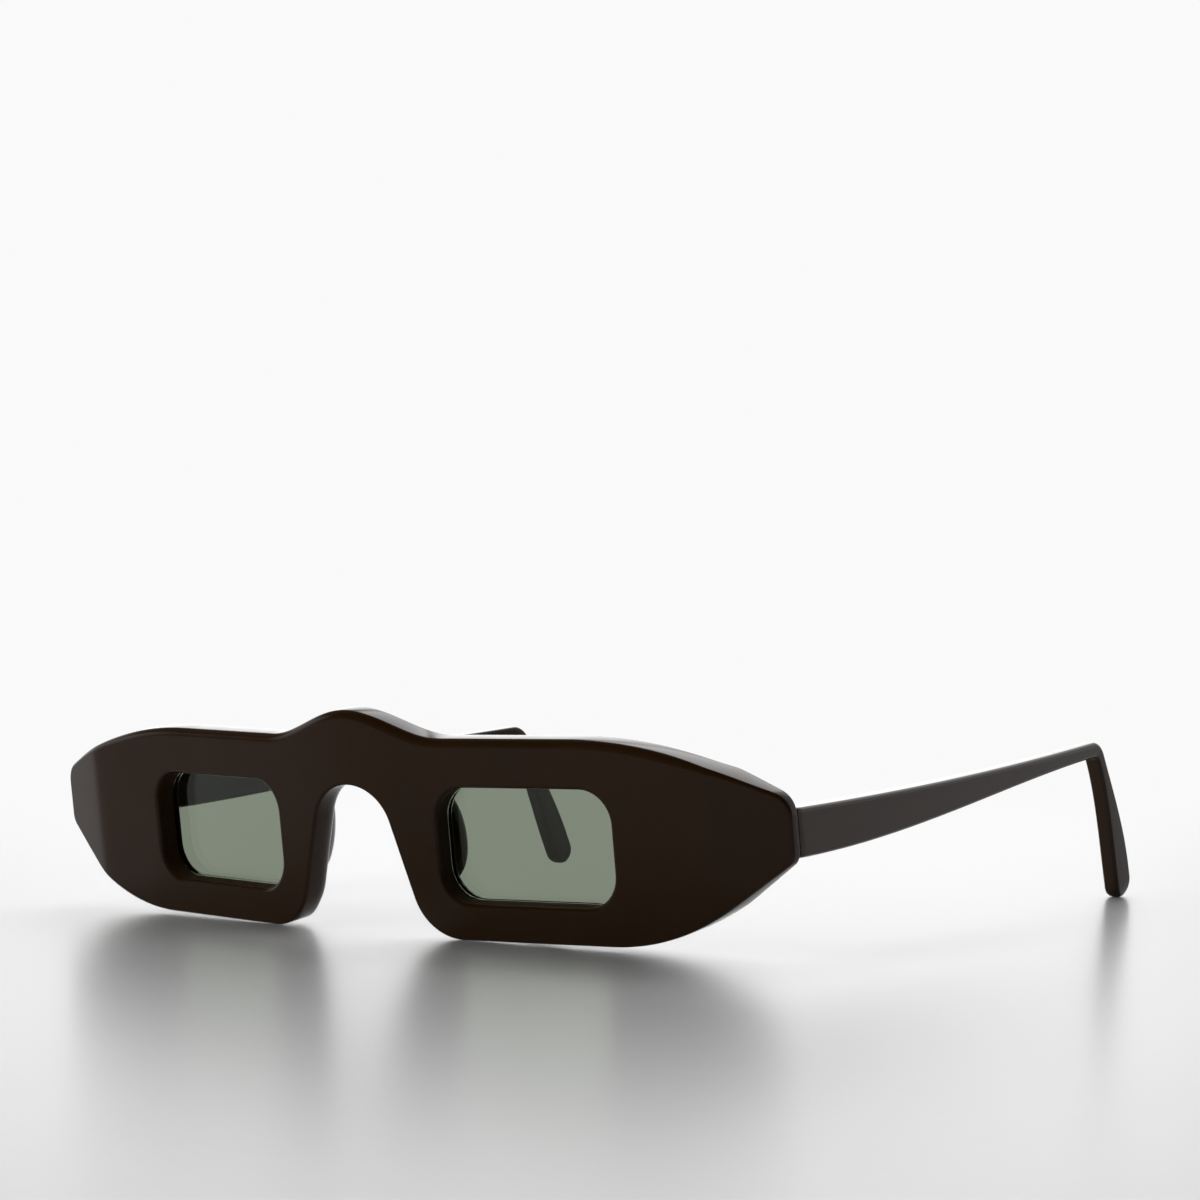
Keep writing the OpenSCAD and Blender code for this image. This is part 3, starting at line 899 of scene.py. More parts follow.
@dataclass
class Front:
    """The acetate front, with its lens openings, hinge pockets and lenses."""

    hinge: Hinge
    width: float = 144
    brow_h: float = 30
    hump_h: float = 4.2
    hump_half: float = 17
    sheet: float = 5.4
    wrap: float = 6.4
    fold_soft: float = 4
    brow_run: float = 19.7
    brow_drop: float = 8.6
    brow_r: float = 66
    cheek_run: float = 17
    cheek_rise: float = 12.5
    cheek_r: float = 34
    top_corner_r: float = 3.6
    low_corner_r: float = 2.2
    facet_w: float = 11.2
    facet_turn: float = 15
    end_wall: float = 1.9
    crease_soft: float = 0.9
    arch_h: float = 22.9
    arch_r: float = 7.6
    nose_splay: float = 16.7
    rim_corner_r: float = 8.5
    nose_bevel: Point2 = (1.3, 2.8)
    brow_round: float = 1.3
    front_round: float = 0.5
    rear_round: float = 1.1
    cheek_round: float = 0.8
    end_round: float = 0.3
    edge_blend: float = 4
    nose_reach: float = 1
    arch_half: float = 12
    eye_w: float = 29.7
    eye_h: float = 17.3
    bridge_w: float = 31.5
    sill_h: float = 5.5
    eye_r: float = 5.1
    eye_round: float = 0.6
    eye_rear_round: float = 0.25
    lens_t: float = 1.6
    lens_set: float = 3.3
    lens_bevel: float = 0.8
    groove_half: float = 0.2
    groove_wall: float = 0.02
    gap: float = 0.05
    leaf_w: float = 5.2
    support: float = 0.16
    arc_step: float = 0.5
    arc_least: int = 8
    halvings: int = 30
    outline_step: float = 0.62
    hump_steps: int = 36
    round_steps: int = 6
    rear_steps: int = 3
    pocket_steps: int = 6
    eye_corner_steps: int = 16
    eye_side_steps: tuple[int, int] = (24, 12)
    grid: float = 1.0
    crease_grid: float = 0.3
    crease_zone: float = 1.3
    edge_clear: float = 0.45
    half: float = field(init=False)
    facet_u: float = field(init=False)
    land: float = field(init=False)
    arch_u: float = field(init=False)
    rim_u: float = field(init=False)
    eye_u: float = field(init=False)
    eye_w0: float = field(init=False)
    eye_turn: float = field(init=False)
    eye_v: float = field(init=False)

    def __post_init__(self) -> None:
        """Works out the derived places."""
        self.half = self.width / 2
        self.facet_u = self.half - self.facet_w
        slope = math.tan(math.radians(self.wrap + self.facet_turn))
        self.land = self.fold(self.facet_u) + self.facet_w * slope + self.end_wall
        self.arch_u = self.arch_r * math.tan(math.radians(90 - self.nose_splay) / 2)
        self.rim_u = self.arch_u + self.arch_h * math.tan(math.radians(self.nose_splay))
        self.eye_u = (self.bridge_w + self.eye_w) / 2
        low, high = self.fold(self.bridge_w / 2), self.fold(self.bridge_w / 2 + self.eye_w)
        self.eye_w0 = (low + high) / 2
        self.eye_turn = math.atan((high - low) / self.eye_w)
        self.eye_v = self.sill_h + self.eye_h / 2

    def fold(self, u: float) -> float:
        """Depth of the swept halves, with the soft fold in the middle."""
        return math.tan(math.radians(self.wrap)) * (math.hypot(u, self.fold_soft) - self.fold_soft)

    def front_w(self, u: float) -> float:
        """Depth of the front surface, with a softened crease at each end facet.

        Args:
            u: place across the front.

        Returns:
            The depth.
        """
        past = abs(u) - self.facet_u
        bend = (past + math.hypot(past, self.crease_soft)) / 2
        turned, straight = (math.tan(math.radians(a)) for a in (self.wrap + self.facet_turn,
                                                                self.wrap))
        return self.fold(abs(u)) + bend * (turned - straight)

    def rear_w(self, u: float) -> float:
        """Depth of the rear surface."""
        return min(self.front_w(u) + self.sheet, self.land)

    def land_u(self) -> float:
        """Finds where the rear land starts.

        Returns:
            Its distance from the middle.
        """
        low, high = self.facet_u, self.half
        for _ in range(self.halvings):
            mid = (low + high) / 2
            low, high = (mid, high) if self.front_w(mid) + self.sheet < self.land else (low, mid)
        return low

    def arc(self, a: Point2, b: Point2, c: Point2, r: float) -> list[Point2]:
        """Rounds a corner.

        Args:
            a: a point before the corner.
            b: the corner.
            c: a point after it.
            r: radius of the arc.

        Returns:
            Points of the arc.
        """
        pa, pb, pc = Vector(a), Vector(b), Vector(c)
        to_a, to_c = (pa - pb).normalized(), (pc - pb).normalized()
        half = math.acos(max(-1, min(1, to_a.dot(to_c)))) / 2
        centre = pb + (to_a + to_c).normalized() * (r / math.sin(half))
        first = pb + to_a * (r / math.tan(half)) - centre
        last = pb + to_c * (r / math.tan(half)) - centre
        start = math.atan2(first.y, first.x)
        turn = math.copysign(math.pi - 2 * half, first.x * last.y - first.y * last.x)
        steps = max(self.arc_least, round(abs(turn) * r / self.arc_step))
        return [(centre.x + r * math.cos(start + turn * k / steps),
                 centre.y + r * math.sin(start + turn * k / steps)) for k in range(steps + 1)]

    def rounded(self, corners: Sequence[Point3]) -> list[Point2]:
        """Rounds the inner corners of a polyline.

        Args:
            corners: place and radius (u, v, r) of each corner.

        Returns:
            Points of the rounded polyline.
        """
        points = [corners[0][:2]]
        for before, here, after in zip(corners, corners[1:], corners[2:]):
            points += self.arc(before[:2], here[:2], after[:2], here[2])
        return points + [corners[-1][:2]]

    def half_outline(self) -> list[Point2]:
        """Draws the left half of the outline, from the hump's top round the end to the arch.

        Returns:
            Its points.
        """
        top = self.brow_h - self.brow_drop
        mid = (top + self.cheek_rise) / 2
        n = self.hump_steps
        hump = [(self.hump_half * i / n,
                 self.brow_h + self.hump_h * (1 + math.cos(math.pi * i / n)) / 2)
                for i in range(n)]
        brow = self.rounded([
            (self.hump_half, self.brow_h, 0), (self.half - self.brow_run, self.brow_h, self.brow_r),
            (self.half, top, self.top_corner_r), (self.half, mid, 0)])
        low = self.rounded([
            (0, self.arch_h, 0), (self.arch_u, self.arch_h, self.arch_r),
            (self.rim_u, 0, self.rim_corner_r), (self.half - self.cheek_run, 0, self.cheek_r),
            (self.half, self.cheek_rise, self.low_corner_r), (self.half, mid, 0)])
        return hump + brow + low[-2::-1]

    def outline(self) -> list[Point2]:
        """Closed outline with even spacing, the same on both sides."""
        left = evenly(self.half_outline(), self.outline_step)
        return left + [(-u, v) for u, v in left[-2:0:-1]]

    def edge(self, p: Point2) -> Edge:
        """Sizes the edge: soft on the brow, bevelled behind the nose and crisp at the ends.

        Args:
            p: point of the outline.

        Returns:
            The edge there.
        """
        a, blend = abs(p[0]), self.edge_blend
        on_arch = a < self.arch_half and p[1] < self.arch_h + self.nose_reach
        on_brow = p[1] > self.brow_h - self.brow_drop - blend and not on_arch
        to_end = ease((a - (self.half - self.brow_run)) / (self.brow_run - blend))
        rear = mix(self.rear_round if on_brow else self.cheek_round, self.end_round, to_end)
        if on_brow:
            return Edge(mix(self.brow_round, self.front_round, to_end), rear, rear)
        nose = 1 - ease((a - self.rim_u + self.nose_reach) / blend)
        return Edge(self.front_round, *(mix(rear, size, nose) for size in self.nose_bevel))

    def lens_place(self, x: float, y: float) -> Point2:
        """Place (u, w) of a point x along the left lens opening and y behind its front."""
        c, s = math.cos(self.eye_turn), math.sin(self.eye_turn)
        return self.eye_u + x * c - y * s, self.eye_w0 + x * s + y * c

    def eye_point(self, side: Side, grow: float, depth: float, a: float) -> Point3:
        """Finds a point on the rounded rectangle of a lens opening.

        Args:
            side: side of the opening.
            grow: how far the rectangle is drawn out.
            depth: depth behind the front of the opening.
            a: angle of the point on its corner's arc.

        Returns:
            The point.
        """
        r = self.eye_r
        c, s = math.cos(a), math.sin(a)
        x = math.copysign(self.eye_w / 2 - r, c) + (r + grow) * c
        z = math.copysign(self.eye_h / 2 - r, s) + (r + grow) * s
        u, w = self.lens_place(x, depth)
        return side.value * u, w, self.eye_v + z

    def eye_loop(self, side: Side, grow: float, depth: float) -> list[Point3]:
        """Draws one loop of a lens opening, with points along its straight sides too.

        Args:
            side: side of the opening.
            grow: how far the loop is drawn out.
            depth: depth behind the front of the opening.

        Returns:
            The loop's points.
        """
        quarter, nudge, n = math.pi / 2, 1e-4, self.eye_corner_steps
        out: list[Point3] = []
        for q in range(4):
            first = q * quarter + nudge
            arc = [self.eye_point(side, grow, depth, first + (quarter - 2 * nudge) * k / n)
                   for k in range(n + 1)]
            after = self.eye_point(side, grow, depth, (q + 1) * quarter + nudge)
            steps = self.eye_side_steps[q % 2]
            out += arc + [tuple(mix(a, b, k / steps) for a, b in zip(arc[-1], after))
                          for k in range(1, steps)]
        return out

    def opening(self, shell: Shell, side: Side) -> list[list[int]]:
        """Adds one lens opening: a soft front edge, the lens groove and a soft rear edge.

        Args:
            shell: the shell of the front.
            side: side of the opening.

        Returns:
            The numbers of each loop's points, from the front to the rear.
        """
        mid = self.lens_set + self.lens_t / 2
        wide = self.lens_t / 2 + self.gap
        deep = self.lens_bevel + self.gap
        back = self.sheet * math.cos(self.eye_turn)
        soft, rear_soft = self.eye_round, self.eye_rear_round
        start = max(mid + wide + self.groove_wall, back - rear_soft)
        steps = [(soft + self.support, 0),
                 *((soft * (1 - s), soft * (1 - c)) for s, c in quarter_turn(self.round_steps)),
                 (0, mid - wide), (deep, mid - self.groove_half), (deep, mid + self.groove_half),
                 (0, mid + wide),
                 *((rear_soft * (1 - c), start + (back - start) * s)
                   for s, c in quarter_turn(self.rear_steps)),
                 (rear_soft + self.support, back)]
        loops = [self.eye_loop(side, grow, depth) for grow, depth in steps]
        for k, surface in ((0, self.front_w), (1, self.front_w), (-1, self.rear_w),
                           (-2, self.rear_w)):
            loops[k] = [(u, surface(u), v) for u, _, v in loops[k]]
        rings = shell.loft(loops)
        for ring in rings[self.round_steps + 1:-self.rear_steps - 1]:
            shell.sawn.update(ring)
        return rings

    def pocket(self, shell: Shell, side: Side) -> list[int]:
        """Adds the walls and the floor of one hinge pocket.

        Args:
            shell: the shell of the front.
            side: side of the pocket.

        Returns:
            The numbers of the loop at the rear surface.
        """
        hinge, n = self.hinge, self.pocket_steps
        mid_u, mid_v = side.value * hinge.leaf_u, hinge.pin_v
        a, b = self.leaf_w / 2 + hinge.leaf_gap, hinge.height / 2 + hinge.leaf_gap
        corners = [(mid_u + a * i, mid_v + b * j) for i, j in ((-1, -1), (1, -1), (1, 1), (-1, 1))]
        loop = [(mix(p[0], q[0], k / n), mix(p[1], q[1], k / n))
                for p, q in zip(corners, corners[1:] + corners[:1]) for k in range(n)]
        depth = self.land - hinge.leaf_t - hinge.leaf_gap
        mouth, floor = shell.loft([[(u, self.rear_w(u), v) for u, v in loop],
                                   [(u, depth, v) for u, v in loop]])
        shell.faces.append(tuple(floor))
        return mouth

    def interior(self, loops: Sequence[Sequence[Point2]], crease: float) -> list[Point2]:
        """Spreads even points over a region, in closer columns at its creases.

        Args:
            loops: the region's outline, then its holes.
            crease: distance of the side creases from the one in the middle.

        Returns:
            The points.
        """
        columns = [0.0]
        while columns[-1] < self.half:
            away = min(columns[-1], abs(columns[-1] - crease))
            columns.append(columns[-1] + (self.crease_grid if away < self.crease_zone
                                          else self.grid))
        columns = [-c for c in columns[:0:-1]] + columns
        rows = math.ceil((self.brow_h + self.hump_h) / self.grid)
        cells: dict[tuple[int, int], list[Point2]] = {}
        for loop in loops:
            for u, v in evenly([*loop, loop[0]], self.arc_step):
                cells.setdefault((math.floor(u), math.floor(v)), []).append((u, v))
        kept = []
        for u, v in ((u, self.grid * k) for u in columns for k in range(1, rows + 1)):
            near = (q for du in (-1, 0, 1) for dv in (-1, 0, 1)
                    for q in cells.get((math.floor(u) + du, math.floor(v) + dv), ()))
            close = any(math.hypot(q[0] - u, q[1] - v) < self.edge_clear for q in near)
            if not close and within(Vector((u, v)), loops):
                kept.append((u, v))
        return kept

    def shape(self, stand: Stand) -> Piece:
        """Makes the front as one closed mesh.

        Args:
            stand: the stand of the front's frame.

        Returns:
            The front.
        """
        shell, line = Shell(), self.outline()
        rims = []
        for i, p in enumerate(line):
            t = (Vector(line[(i + 1) % len(line)]) - Vector(line[i - 1])).normalized()
            rims.append((p, (t.y, -t.x), self.edge(p)))

        def skin(surface: Callable[[float], float], inset: Callable[[Edge], float],
                 lift: Callable[[Edge], float] = lambda e: 0.0) -> list[Point3]:
            """Draws a loop in from the outline.

            Args:
                surface: depth of the surface that the loop lies on.
                inset: how far it is drawn in.
                lift: how far it is moved back from the surface.

            Returns:
                The loop's points.
            """
            points = []
            for p, inwards, edge in rims:
                u, v = (p[k] + inwards[k] * inset(edge) for k in range(2))
                points.append((u, surface(u) + lift(edge), v))
            return points

        turns = quarter_turn(self.round_steps)
        rings = shell.loft([
            skin(self.front_w, lambda e: e.front + self.support),
            *(skin(self.front_w, lambda e: e.front * (1 - s), lambda e: e.front * (1 - c))
              for s, c in turns),
            *(skin(self.rear_w, lambda e: e.inset * (1 - c), lambda e: -e.depth * (1 - s))
              for s, c in turns),
            skin(self.rear_w, lambda e: e.inset + self.support)])
        openings, pockets = [], []
        for side in Side:
            openings.append(self.opening(shell, side))
            pockets.append(self.pocket(shell, side))
        left, right = openings
        for loops, surface, crease in (
                ((rings[0], left[0], right[0]), self.front_w, self.facet_u),
                ((rings[-1], left[-1], pockets[0], right[-1], pockets[1]), self.rear_w,
                 self.land_u())):
            shell.fill(loops, surface, self.interior([shell.flat(k) for k in loops], crease))
        return shell.to_object("AcetateFront", stand)

    def build(self, stand: Stand, finishes: Finishes) -> list[Piece]:
        """Builds and dresses the front and dresses the two CAD lenses.

        Args:
            stand: the stand of the front's frame.
            finishes: the material of each slot.

        Returns:
            The pieces.
        """
        front = dress(self.shape(stand), finishes, Slot.ACETATE, Body.FRONT, ["front_frame"])
        return [front, *(dress(frame["nodes"]["lens_" + side.word], finishes, Slot.LENS)
                         for side in Side)]


# Temples


@dataclass(frozen=True)
class Station:
    """Place on a temple's path, with the values that its node tree reads there."""

    place: Point3
    half_t: float
    dip: float = 0.0
    bar: float = 0.0
    tail: float = 0.0
    tip: float = 1.0
    inset: float = 0.0
    shut: float = 1.0


STATION_VALUES = [item.name for item in fields(Station)[1:]]


@dataclass
class Temple:
    """One temple: a section swept along a path by geometry nodes, then cut for the hinge."""

    side: Side
    hinge: Hinge
    butt_w: float = 12.7751
    out_u: float = 71.9
    bar_l: float = 105
    butt_h: float = 7.15
    bend_h: float = 2.6
    butt_t: float = 3.4
    tail_t: float = 2.8
    full_l: float = 15
    butt_top: float = 19.8
    bar_fall: float = 9.1
    bar_sag: float = 0.8
    dip_from: float = 0.98
    toe_in: float = 4.2
    bend_r: float = 3
    bend_turn: float = 63
    tail_r: float = 150
    tail_l: float = 27.4
    paddle_h: float = 5.4
    tip_curl: float = 1
    corner_r: float = 0.7
    corner_share: float = 0.95
    corner_pull: float = 4
    butt_soft: float = 0.2
    butt_rim: float = 0.1
    leaf_l: float = 7.4
    leaf_start: float = 0.3
    core_r: float = 0.6
    core_gap: float = 0.04
    core_wall: float = 0.55
    mouth_l: float = 3
    over: float = 1
    around: int = 160
    butt_steps: int = 3
    bar_steps: int = 60
    bend_steps: int = 16
    tail_steps: int = 26
    tip_steps: int = 12
    mouth_facets: int = 40
    weld: float = 1e-4
    sharp: float = 34

    def bar(self, t: float) -> Point2:
        """Finds the middle of the straight part.

        Args:
            t: share of its length.

        Returns:
            Depth and height there.
        """
        h = mix(self.butt_h, self.bend_h, ease(t))
        top = self.butt_top - self.bar_fall * t - 4 * self.bar_sag * t * (1 - t)
        return self.butt_w + t * self.bar_l, top - h / 2

    def thickness(self, w: float) -> float:
        """Thickness of the temple at a depth."""
        t = ease((w - self.butt_w - self.full_l) / (self.bar_l - self.full_l))
        return mix(self.butt_t, self.tail_t, t)

    def middle_u(self, w: float, s: float) -> float:
        """Finds the section's middle.

        Args:
            w: its depth.
            s: length of the tail up to it.

        Returns:
            Its distance from the middle of the front.
        """
        curl = self.tip_curl * (s / self.tail_l) ** 2
        outer = self.out_u - math.tan(math.radians(self.toe_in)) * (w - self.butt_w) - curl
        return outer - self.thickness(w) / 2

    def stations(self) -> list[Station]:
        """Lays out the path, from the butt over the bar and the bend to the tip.

        Returns:
            The stations of the path.
        """
        out: list[Station] = []

        def add(w: float, v: float, s: float = 0.0, **values: float) -> None:
            """Adds the station at a depth and height, s along the tail."""
            out.append(Station((self.middle_u(w, s), w, v), self.thickness(w) / 2, **values))

        def on_arc(start: Station, r: float, dip: float) -> Point2:
            """Depth and height where an arc of radius r from a station has turned to a dip."""
            return (start.place[1] + r * (math.sin(dip) - math.sin(start.dip)),
                    start.place[2] - r * (math.cos(start.dip) - math.cos(dip)))

        (butt_w, butt_v), near, end = self.bar(0), self.bar(self.dip_from), self.bar(1)
        dip = math.atan((near[1] - end[1]) / (end[0] - near[0]))
        soft = self.butt_soft
        add(butt_w, butt_v, shut=0.0)
        add(butt_w, butt_v, inset=soft + self.butt_rim)
        for s, c in quarter_turn(self.butt_steps):
            add(butt_w + soft * (1 - c), butt_v, inset=soft * (1 - s))
        for k in range(1, self.bar_steps + 1):
            t = k / self.bar_steps
            add(*self.bar(t), dip=dip * t, bar=t)
        start, turn = out[-1], math.radians(self.bend_turn)
        for k in range(1, self.bend_steps + 1):
            dip = start.dip + turn * k / self.bend_steps
            add(*on_arc(start, self.bend_r, dip), dip=dip, bar=1.0)
        start, r = out[-1], self.paddle_h / 2
        spots = [(self.tail_l - r) * k / self.tail_steps for k in range(1, self.tail_steps + 1)]
        spots += [self.tail_l - r + r * s for s, _ in quarter_turn(self.tip_steps)[1:]]
        for s in spots:
            dip = start.dip + s / self.tail_r
            share = max(0.0, (s - self.tail_l + r) / r)
            add(*on_arc(start, self.tail_r, dip), s, dip=dip, bar=1.0,
                tail=min(1.0, s / (self.tail_l - 2 * r)), tip=math.sqrt(max(0.0, 1 - share ** 2)))
        return out

    def sweep(self, finish: Material) -> Piece:
        """Makes the swept temple.

        Args:
            finish: the temple's finish.

        Returns:
            The left temple, in millimetres in the frame of the front.
        """
        stations = self.stations()
        n = len(stations)
        path = new_object("Temple" + self.side.word.title(), [s.place for s in stations],
                          [(i, i + 1) for i in range(n - 1)])
        for key in STATION_VALUES:
            path.data.attributes.new(key, "FLOAT", "POINT").data.foreach_set(
                "value", [getattr(s, key) for s in stations])
        return self.sweep_graph(finish).apply(path, {
            "Rings": n, "Around": self.around, "Hinge Height": self.butt_h,
            "Bend Height": self.bend_h, "Paddle Height": self.paddle_h,
            "Corner Radius": self.corner_r})

    def sweep_graph(self, finish: Material) -> Graph:
        """Makes the tree that sweeps a rounded rectangle along the path.

        Args:
            finish: the temple's finish.

        Returns:
            The tree.
        """
        g = Graph("TempleSweep", {
            "Rings": "Int", "Around": "Int", "Hinge Height": "Float", "Bend Height": "Float",
            "Paddle Height": "Float", "Corner Radius": "Float"})
        size = g.source
        across = g.math("ADD", size["Around"], 1)
        grid = g.add("GeometryNodeMeshGrid", {"Vertices X": size["Rings"], "Vertices Y": across})
        number = g.add("GeometryNodeInputIndex").outputs["Index"]
        ring = g.math("FLOOR", g.math("DIVIDE", g.math("ADD", number, 0.5), across))
        turn = g.math("DIVIDE", g.math("SUBTRACT", number, g.math("MULTIPLY", ring, across)),
                      size["Around"])

        def at(kind: str, socket: Socket) -> Socket:
            """Value of the path at this ring."""
            inputs = {"Geometry": size["Geometry"], "Value": socket, "Index": ring}
            return g.add("GeometryNodeSampleIndex", inputs, data_type=kind, domain="POINT",
                         clamp=True).outputs["Value"]

        value = {key: at("FLOAT", g.named(key)) for key in STATION_VALUES}
        place = at("FLOAT_VECTOR", g.add("GeometryNodeInputPosition").outputs["Position"])
        height = g.span(value["bar"], size["Hinge Height"], size["Bend Height"])
        height = g.span(value["tail"], height, size["Paddle Height"])
        half_h = g.math("MULTIPLY", g.math("SUBTRACT", g.math("MULTIPLY", height, 0.5),
                                           value["inset"]), value["tip"])
        slim = g.math("MULTIPLY_ADD", value["tip"], 0.5, 0.5)
        half_t = g.math("MULTIPLY", g.math("SUBTRACT", value["half_t"], value["inset"]), slim)
        most = g.math("MULTIPLY", g.math("MINIMUM", half_t, half_h), self.corner_share)
        radius = g.math("MINIMUM", size["Corner Radius"], most)
        angle = g.math("MULTIPLY", turn, 2 * math.pi)
        offsets = []
        for wave, half in (("COSINE", half_t), ("SINE", half_h)):
            c = g.math(wave, angle)
            flat = g.math("SUBTRACT", half, radius)
            reach = g.math("MULTIPLY", g.math("MULTIPLY", c, self.corner_pull), flat)
            held = g.math("MAXIMUM", g.math("MINIMUM", reach, flat), g.math("MULTIPLY", flat, -1))
            offsets.append(g.math("MULTIPLY", g.math("ADD", held, g.math("MULTIPLY", c, radius)),
                                  value["shut"]))
        shift = g.add("ShaderNodeCombineXYZ", {
            "X": offsets[0], "Y": g.math("MULTIPLY", offsets[1], g.math("SINE", value["dip"])),
            "Z": g.math("MULTIPLY", offsets[1], g.math("COSINE", value["dip"]))})
        total = g.add("ShaderNodeVectorMath", {0: place, 1: shift.outputs["Vector"]},
                      operation="ADD")
        move = g.add("GeometryNodeSetPosition", {
            "Geometry": grid.outputs["Mesh"], "Position": total.outputs["Vector"]})
        weld = g.add("GeometryNodeMergeByDistance", {
            "Geometry": move.outputs["Geometry"], "Distance": self.weld})
        g.finish(weld.outputs["Geometry"], finish)
        return g

    def cutters(self) -> list[Piece]:
        """Makes the box of the leaf's pocket and the cylinder of the core wire's mouth.

        Returns:
            The two, in millimetres.
        """
        hinge, gap = self.hinge, self.hinge.leaf_gap
        root = (Matrix.Translation((hinge.temple_in, self.butt_w, hinge.pin_v))
                @ Matrix.Rotation(math.radians(self.toe_in), 4, "Z"))
        middle = ((hinge.leaf_t + gap - self.over) / 2, self.leaf_start + self.leaf_l / 2, 0)
        pocket = box(root @ Matrix.Translation(middle), (
            hinge.leaf_t + gap + self.over, self.leaf_l + 2 * gap, hinge.height + 2 * gap))
        bpy.ops.mesh.primitive_cylinder_add(
            vertices=self.mouth_facets, radius=self.core_r + self.core_gap, depth=self.mouth_l)
        mouth = bpy.context.object
        core_u = hinge.temple_in + hinge.leaf_t + self.core_r + self.core_wall
        mouth.matrix_world = (
            Matrix.Translation((core_u, self.butt_w, self.butt_top - self.butt_h / 2))
            @ Matrix.Rotation(math.pi / 2, 4, "X"))
        return [pocket, mouth]

    def build(self, stand: Stand, finishes: Finishes) -> list[Piece]:
        """Builds and dresses the temple in its place and dresses its CAD core wire.

        Args:
            stand: the stand of the front's frame.
            finishes: the material of each slot.

        Returns:
            The pieces.
        """
        temple = self.sweep(finishes[Slot.ACETATE])
        tidy_mesh(temple.data, ALL_SMOOTH)
        for cutter in self.cutters():
            temple = cut_out(temple, cutter)
        temple.data.transform(Matrix.Diagonal((self.side.value, 1, 1, 1)))
        temple.data.transform(stand.matrix())
        tidy_mesh(temple.data, self.sharp)
        core = frame["nodes"]["temple_core_" + self.side.word]
        return [dress(temple, finishes, Slot.ACETATE, ARM[self.side],
                      ["temple_" + self.side.word]), dress(core, finishes, Slot.NICKEL)]


# Nose pads


@dataclass
class NosePad:
    """Acetate pad built up behind the rim, its ridge leaning away from the nose."""

    side: Side
    front: Front
    height: float = 15
    width: float = 5
    stand_off: float = 4.2
    lean: float = 1.6
    mid_v: float = 14.8
    glue: float = 0.04
    inset: float = 0.5
    dome: float = 88
    point: float = 0.8
    around: int = 72
    rows: int = 22
    sharp: float = 50

    def build(self, stand: Stand, finishes: Finishes) -> list[Piece]:
        """Builds and dresses the pad behind its rim.

        Args:
            stand: the stand of the front's frame.
            finishes: the material of each slot.

        Returns:
            The pad, as the only piece.
        """
        front, splay = self.front, math.radians(self.front.nose_splay / 2)
        back = front.sheet * math.cos(front.eye_turn) + self.glue
        base_x = -(front.eye_w + self.width) / 2 - self.inset
        loops = []
        for k in range(self.rows + 1):
            a = math.radians(mix(0, self.dome, k / self.rows))
            half_w = self.width / 2 * math.cos(a)
            half_h = self.height / 2 * math.cos(a) ** self.point
            loop = []
            for c, s, _ in circle(1, 0, self.around):
                x, z = self.lean * math.sin(a) + half_w * c, half_h * s
                u, w = front.lens_place(base_x + (x * math.cos(splay) - z * math.sin(splay)),
                                        back + self.stand_off * math.sin(a))
                v = self.mid_v + (z * math.cos(splay) + x * math.sin(splay))
                loop.append((self.side.value * u, w, v))
            loops.append(loop)
        shell = Shell()
        rings = shell.loft(loops)
        shell.faces += [tuple(rings[0]), tuple(rings[-1])]
        pad = shell.to_object("NosePad" + self.side.word.title(), stand, self.sharp)
        return [dress(pad, finishes, Slot.ACETATE, Body.FRONT, ["nose_pad_" + self.side.word])]


# Studio


@dataclass(frozen=True)
class Ramp:
    """Light of the world that runs from low to high as the cosine to a way does start..end."""

    way: Point3
    start: float
    end: float
    high: float
    low: float = 0.0


@dataclass(frozen=True)
class Lamp:
    """Soft square lamp, its place and side in metres and its power in watts."""

    name: str
    place: Point3
    power: float
    size: float = 1.0

    def build(self) -> None:
        """Adds the lamp, turned to the sunglasses and unseen by camera and gloss."""
        data = bpy.data.lights.new(self.name, "AREA")
        data.size, data.energy = self.size, self.power
        lamp = bpy.data.objects.new(self.name, data)
        lamp.location = self.place
        lamp.rotation_euler = (-Vector(self.place)).to_track_quat("-Z", "Y").to_euler()
        lamp.visible_camera = lamp.visible_glossy = False
        bpy.context.scene.collection.objects.link(lamp)


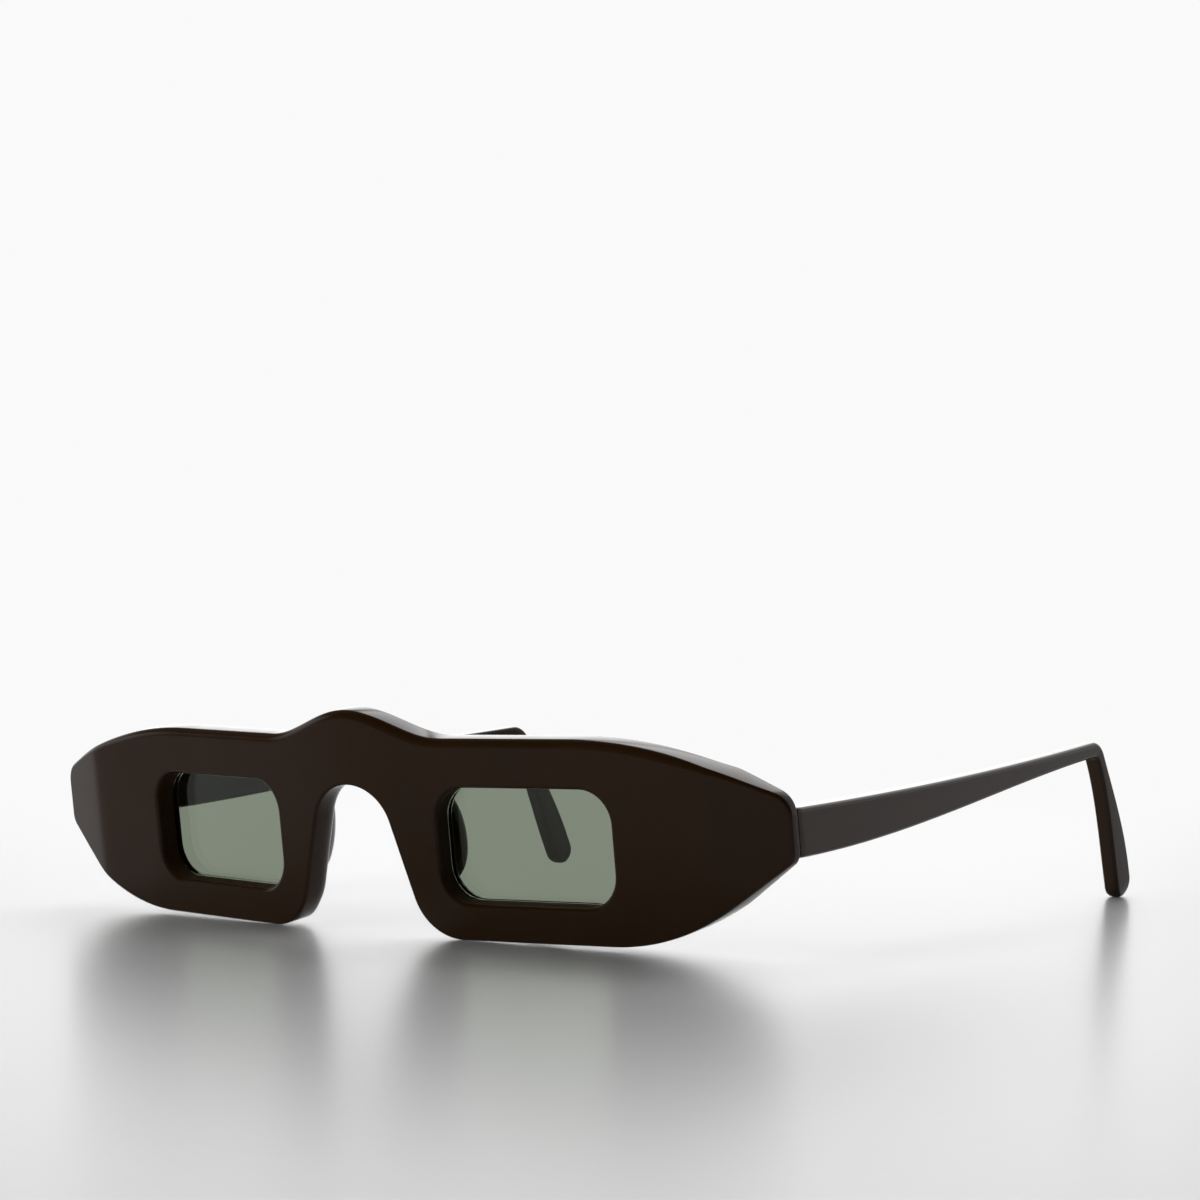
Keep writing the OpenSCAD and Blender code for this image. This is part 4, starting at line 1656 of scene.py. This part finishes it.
@dataclass
class Studio:
    """Camera at the photograph's view, a pale floor and soft light."""

    focal_px: float = 2842.5
    yaw: float = 0.6408
    pitch: float = -0.01489
    roll: float = 0.00433
    eye: Point3 = (285.38, -386.02, 43.95)
    frame_px: float = 1200
    sensor: float = 36
    clip: Point2 = (0.01, 20)
    floor_r: float = 6.0
    floor_sides: int = 96
    white: Point3 = (0.95, 0.95, 0.952)
    backdrop: Ramp = Ramp((-0.73, 0.68, 0.1), 0.2, 0.52, 0.85, 0.05)
    ceiling: Ramp = Ramp((0, 0, 1), 0.3, 0.5, 0.1, 1.0)
    strips: tuple[Ramp, ...] = (
        Ramp((0, 1, 0.1), 0.6, 0.76, 0.7),
        Ramp((-0.61, 0.79, 0.18), 0.93, 0.98, 2.0),
        Ramp((-0.2, 0.85, 0.5), 0.91, 0.96, 1.3),
        Ramp((-0.35, 0.68, 0.64), 0.962, 0.985, 2.4))
    lamps: tuple[Lamp, ...] = (
        Lamp("TopSoftbox", (-0.35, 0.5, 1.1), 3.0),
        Lamp("FrontFill", (-0.5, -1.0, 0.55), 4.5))

    def camera(self) -> None:
        """Makes the camera."""
        a, t, r = self.yaw, self.pitch, self.roll
        look = Vector((-math.sin(a) * math.cos(t), math.cos(a) * math.cos(t), -math.sin(t)))
        right = Vector((math.cos(a), math.sin(a), 0))
        up = right.cross(look)
        right, up = (right * math.cos(r) + up * math.sin(r), up * math.cos(r) - right * math.sin(r))
        data = bpy.data.cameras.new("Camera")
        data.sensor_width = self.sensor
        data.lens = self.focal_px / self.frame_px * self.sensor
        data.clip_start, data.clip_end = self.clip
        camera = bpy.data.objects.new("Camera", data)
        bpy.context.scene.collection.objects.link(camera)
        turn = Matrix((right, up, -look)).transposed()
        camera.matrix_world = Matrix.Translation(Vector(self.eye) * MM) @ turn.to_4x4()
        bpy.context.scene.camera = camera

    def floor(self) -> None:
        """Lays the pale satin floor, in metres."""
        floor = new_object("Floor", circle(self.floor_r, 0, self.floor_sides),
                           faces=[range(self.floor_sides)])
        floor.data.materials.append(FloorSatin(self.white).build())

    def world(self) -> None:
        """Makes a white backdrop for what is seen, and light that comes from behind."""
        world = bpy.data.worlds.new("Studio")
        bpy.context.scene.world = world
        world.use_nodes = True
        g = Nodes(world.node_tree)
        where = g.add("ShaderNodeTexCoord").outputs["Generated"]

        def lit(ramp: Ramp) -> Socket:
            """Light of one ramp."""
            towards = g.add("ShaderNodeVectorMath", {0: where, 1: Vector(ramp.way).normalized()},
                            operation="DOT_PRODUCT")
            return g.span(towards.outputs["Value"], ramp.low, ramp.high, ramp.start, ramp.end)

        light = g.math("MULTIPLY", lit(self.backdrop), lit(self.ceiling))
        for strip in self.strips:
            light = g.math("MAXIMUM", light, lit(strip))
        soft, white = (
            g.add("ShaderNodeBackground", {"Color": (*colour, 1), "Strength": strength})
            for colour, strength in (((1, 1, 1), light), (self.white, 1)))
        rays = g.add("ShaderNodeLightPath").outputs
        clear = g.math("MULTIPLY", rays["Is Transmission Ray"],
                       g.math("LESS_THAN", rays["Glossy Depth"], 0.5))
        seen = g.math("MAXIMUM", rays["Is Camera Ray"], clear)
        g.add("ShaderNodeOutputWorld", {"Surface": g.blend(
            seen, soft.outputs["Background"], white.outputs["Background"])})

    def build(self) -> None:
        """Makes the camera, the floor and the light."""
        self.camera()
        self.floor()
        self.world()
        for lamp in self.lamps:
            lamp.build()
        bpy.context.scene.view_settings.view_transform = "Standard"
        log.info("studio: camera, floor, backdrop and lamps")


def main() -> None:
    """Builds every sub-assembly in order."""
    logging.basicConfig(level=logging.INFO, format="%(message)s")
    finishes = make_finishes()
    hinge = Hinge()
    joint = next(j for j in frame["joints"] if j["name"] == "fold_left")
    stand = Stand.from_joint(joint, hinge.pin)
    front = Front(hinge)
    for part in (front, hinge, *(NosePad(side, front) for side in Side),
                 *(Temple(side, hinge) for side in Side)):
        for piece in part.build(stand, finishes):
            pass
    Studio().build()


if __name__ == "__main__":
    main()
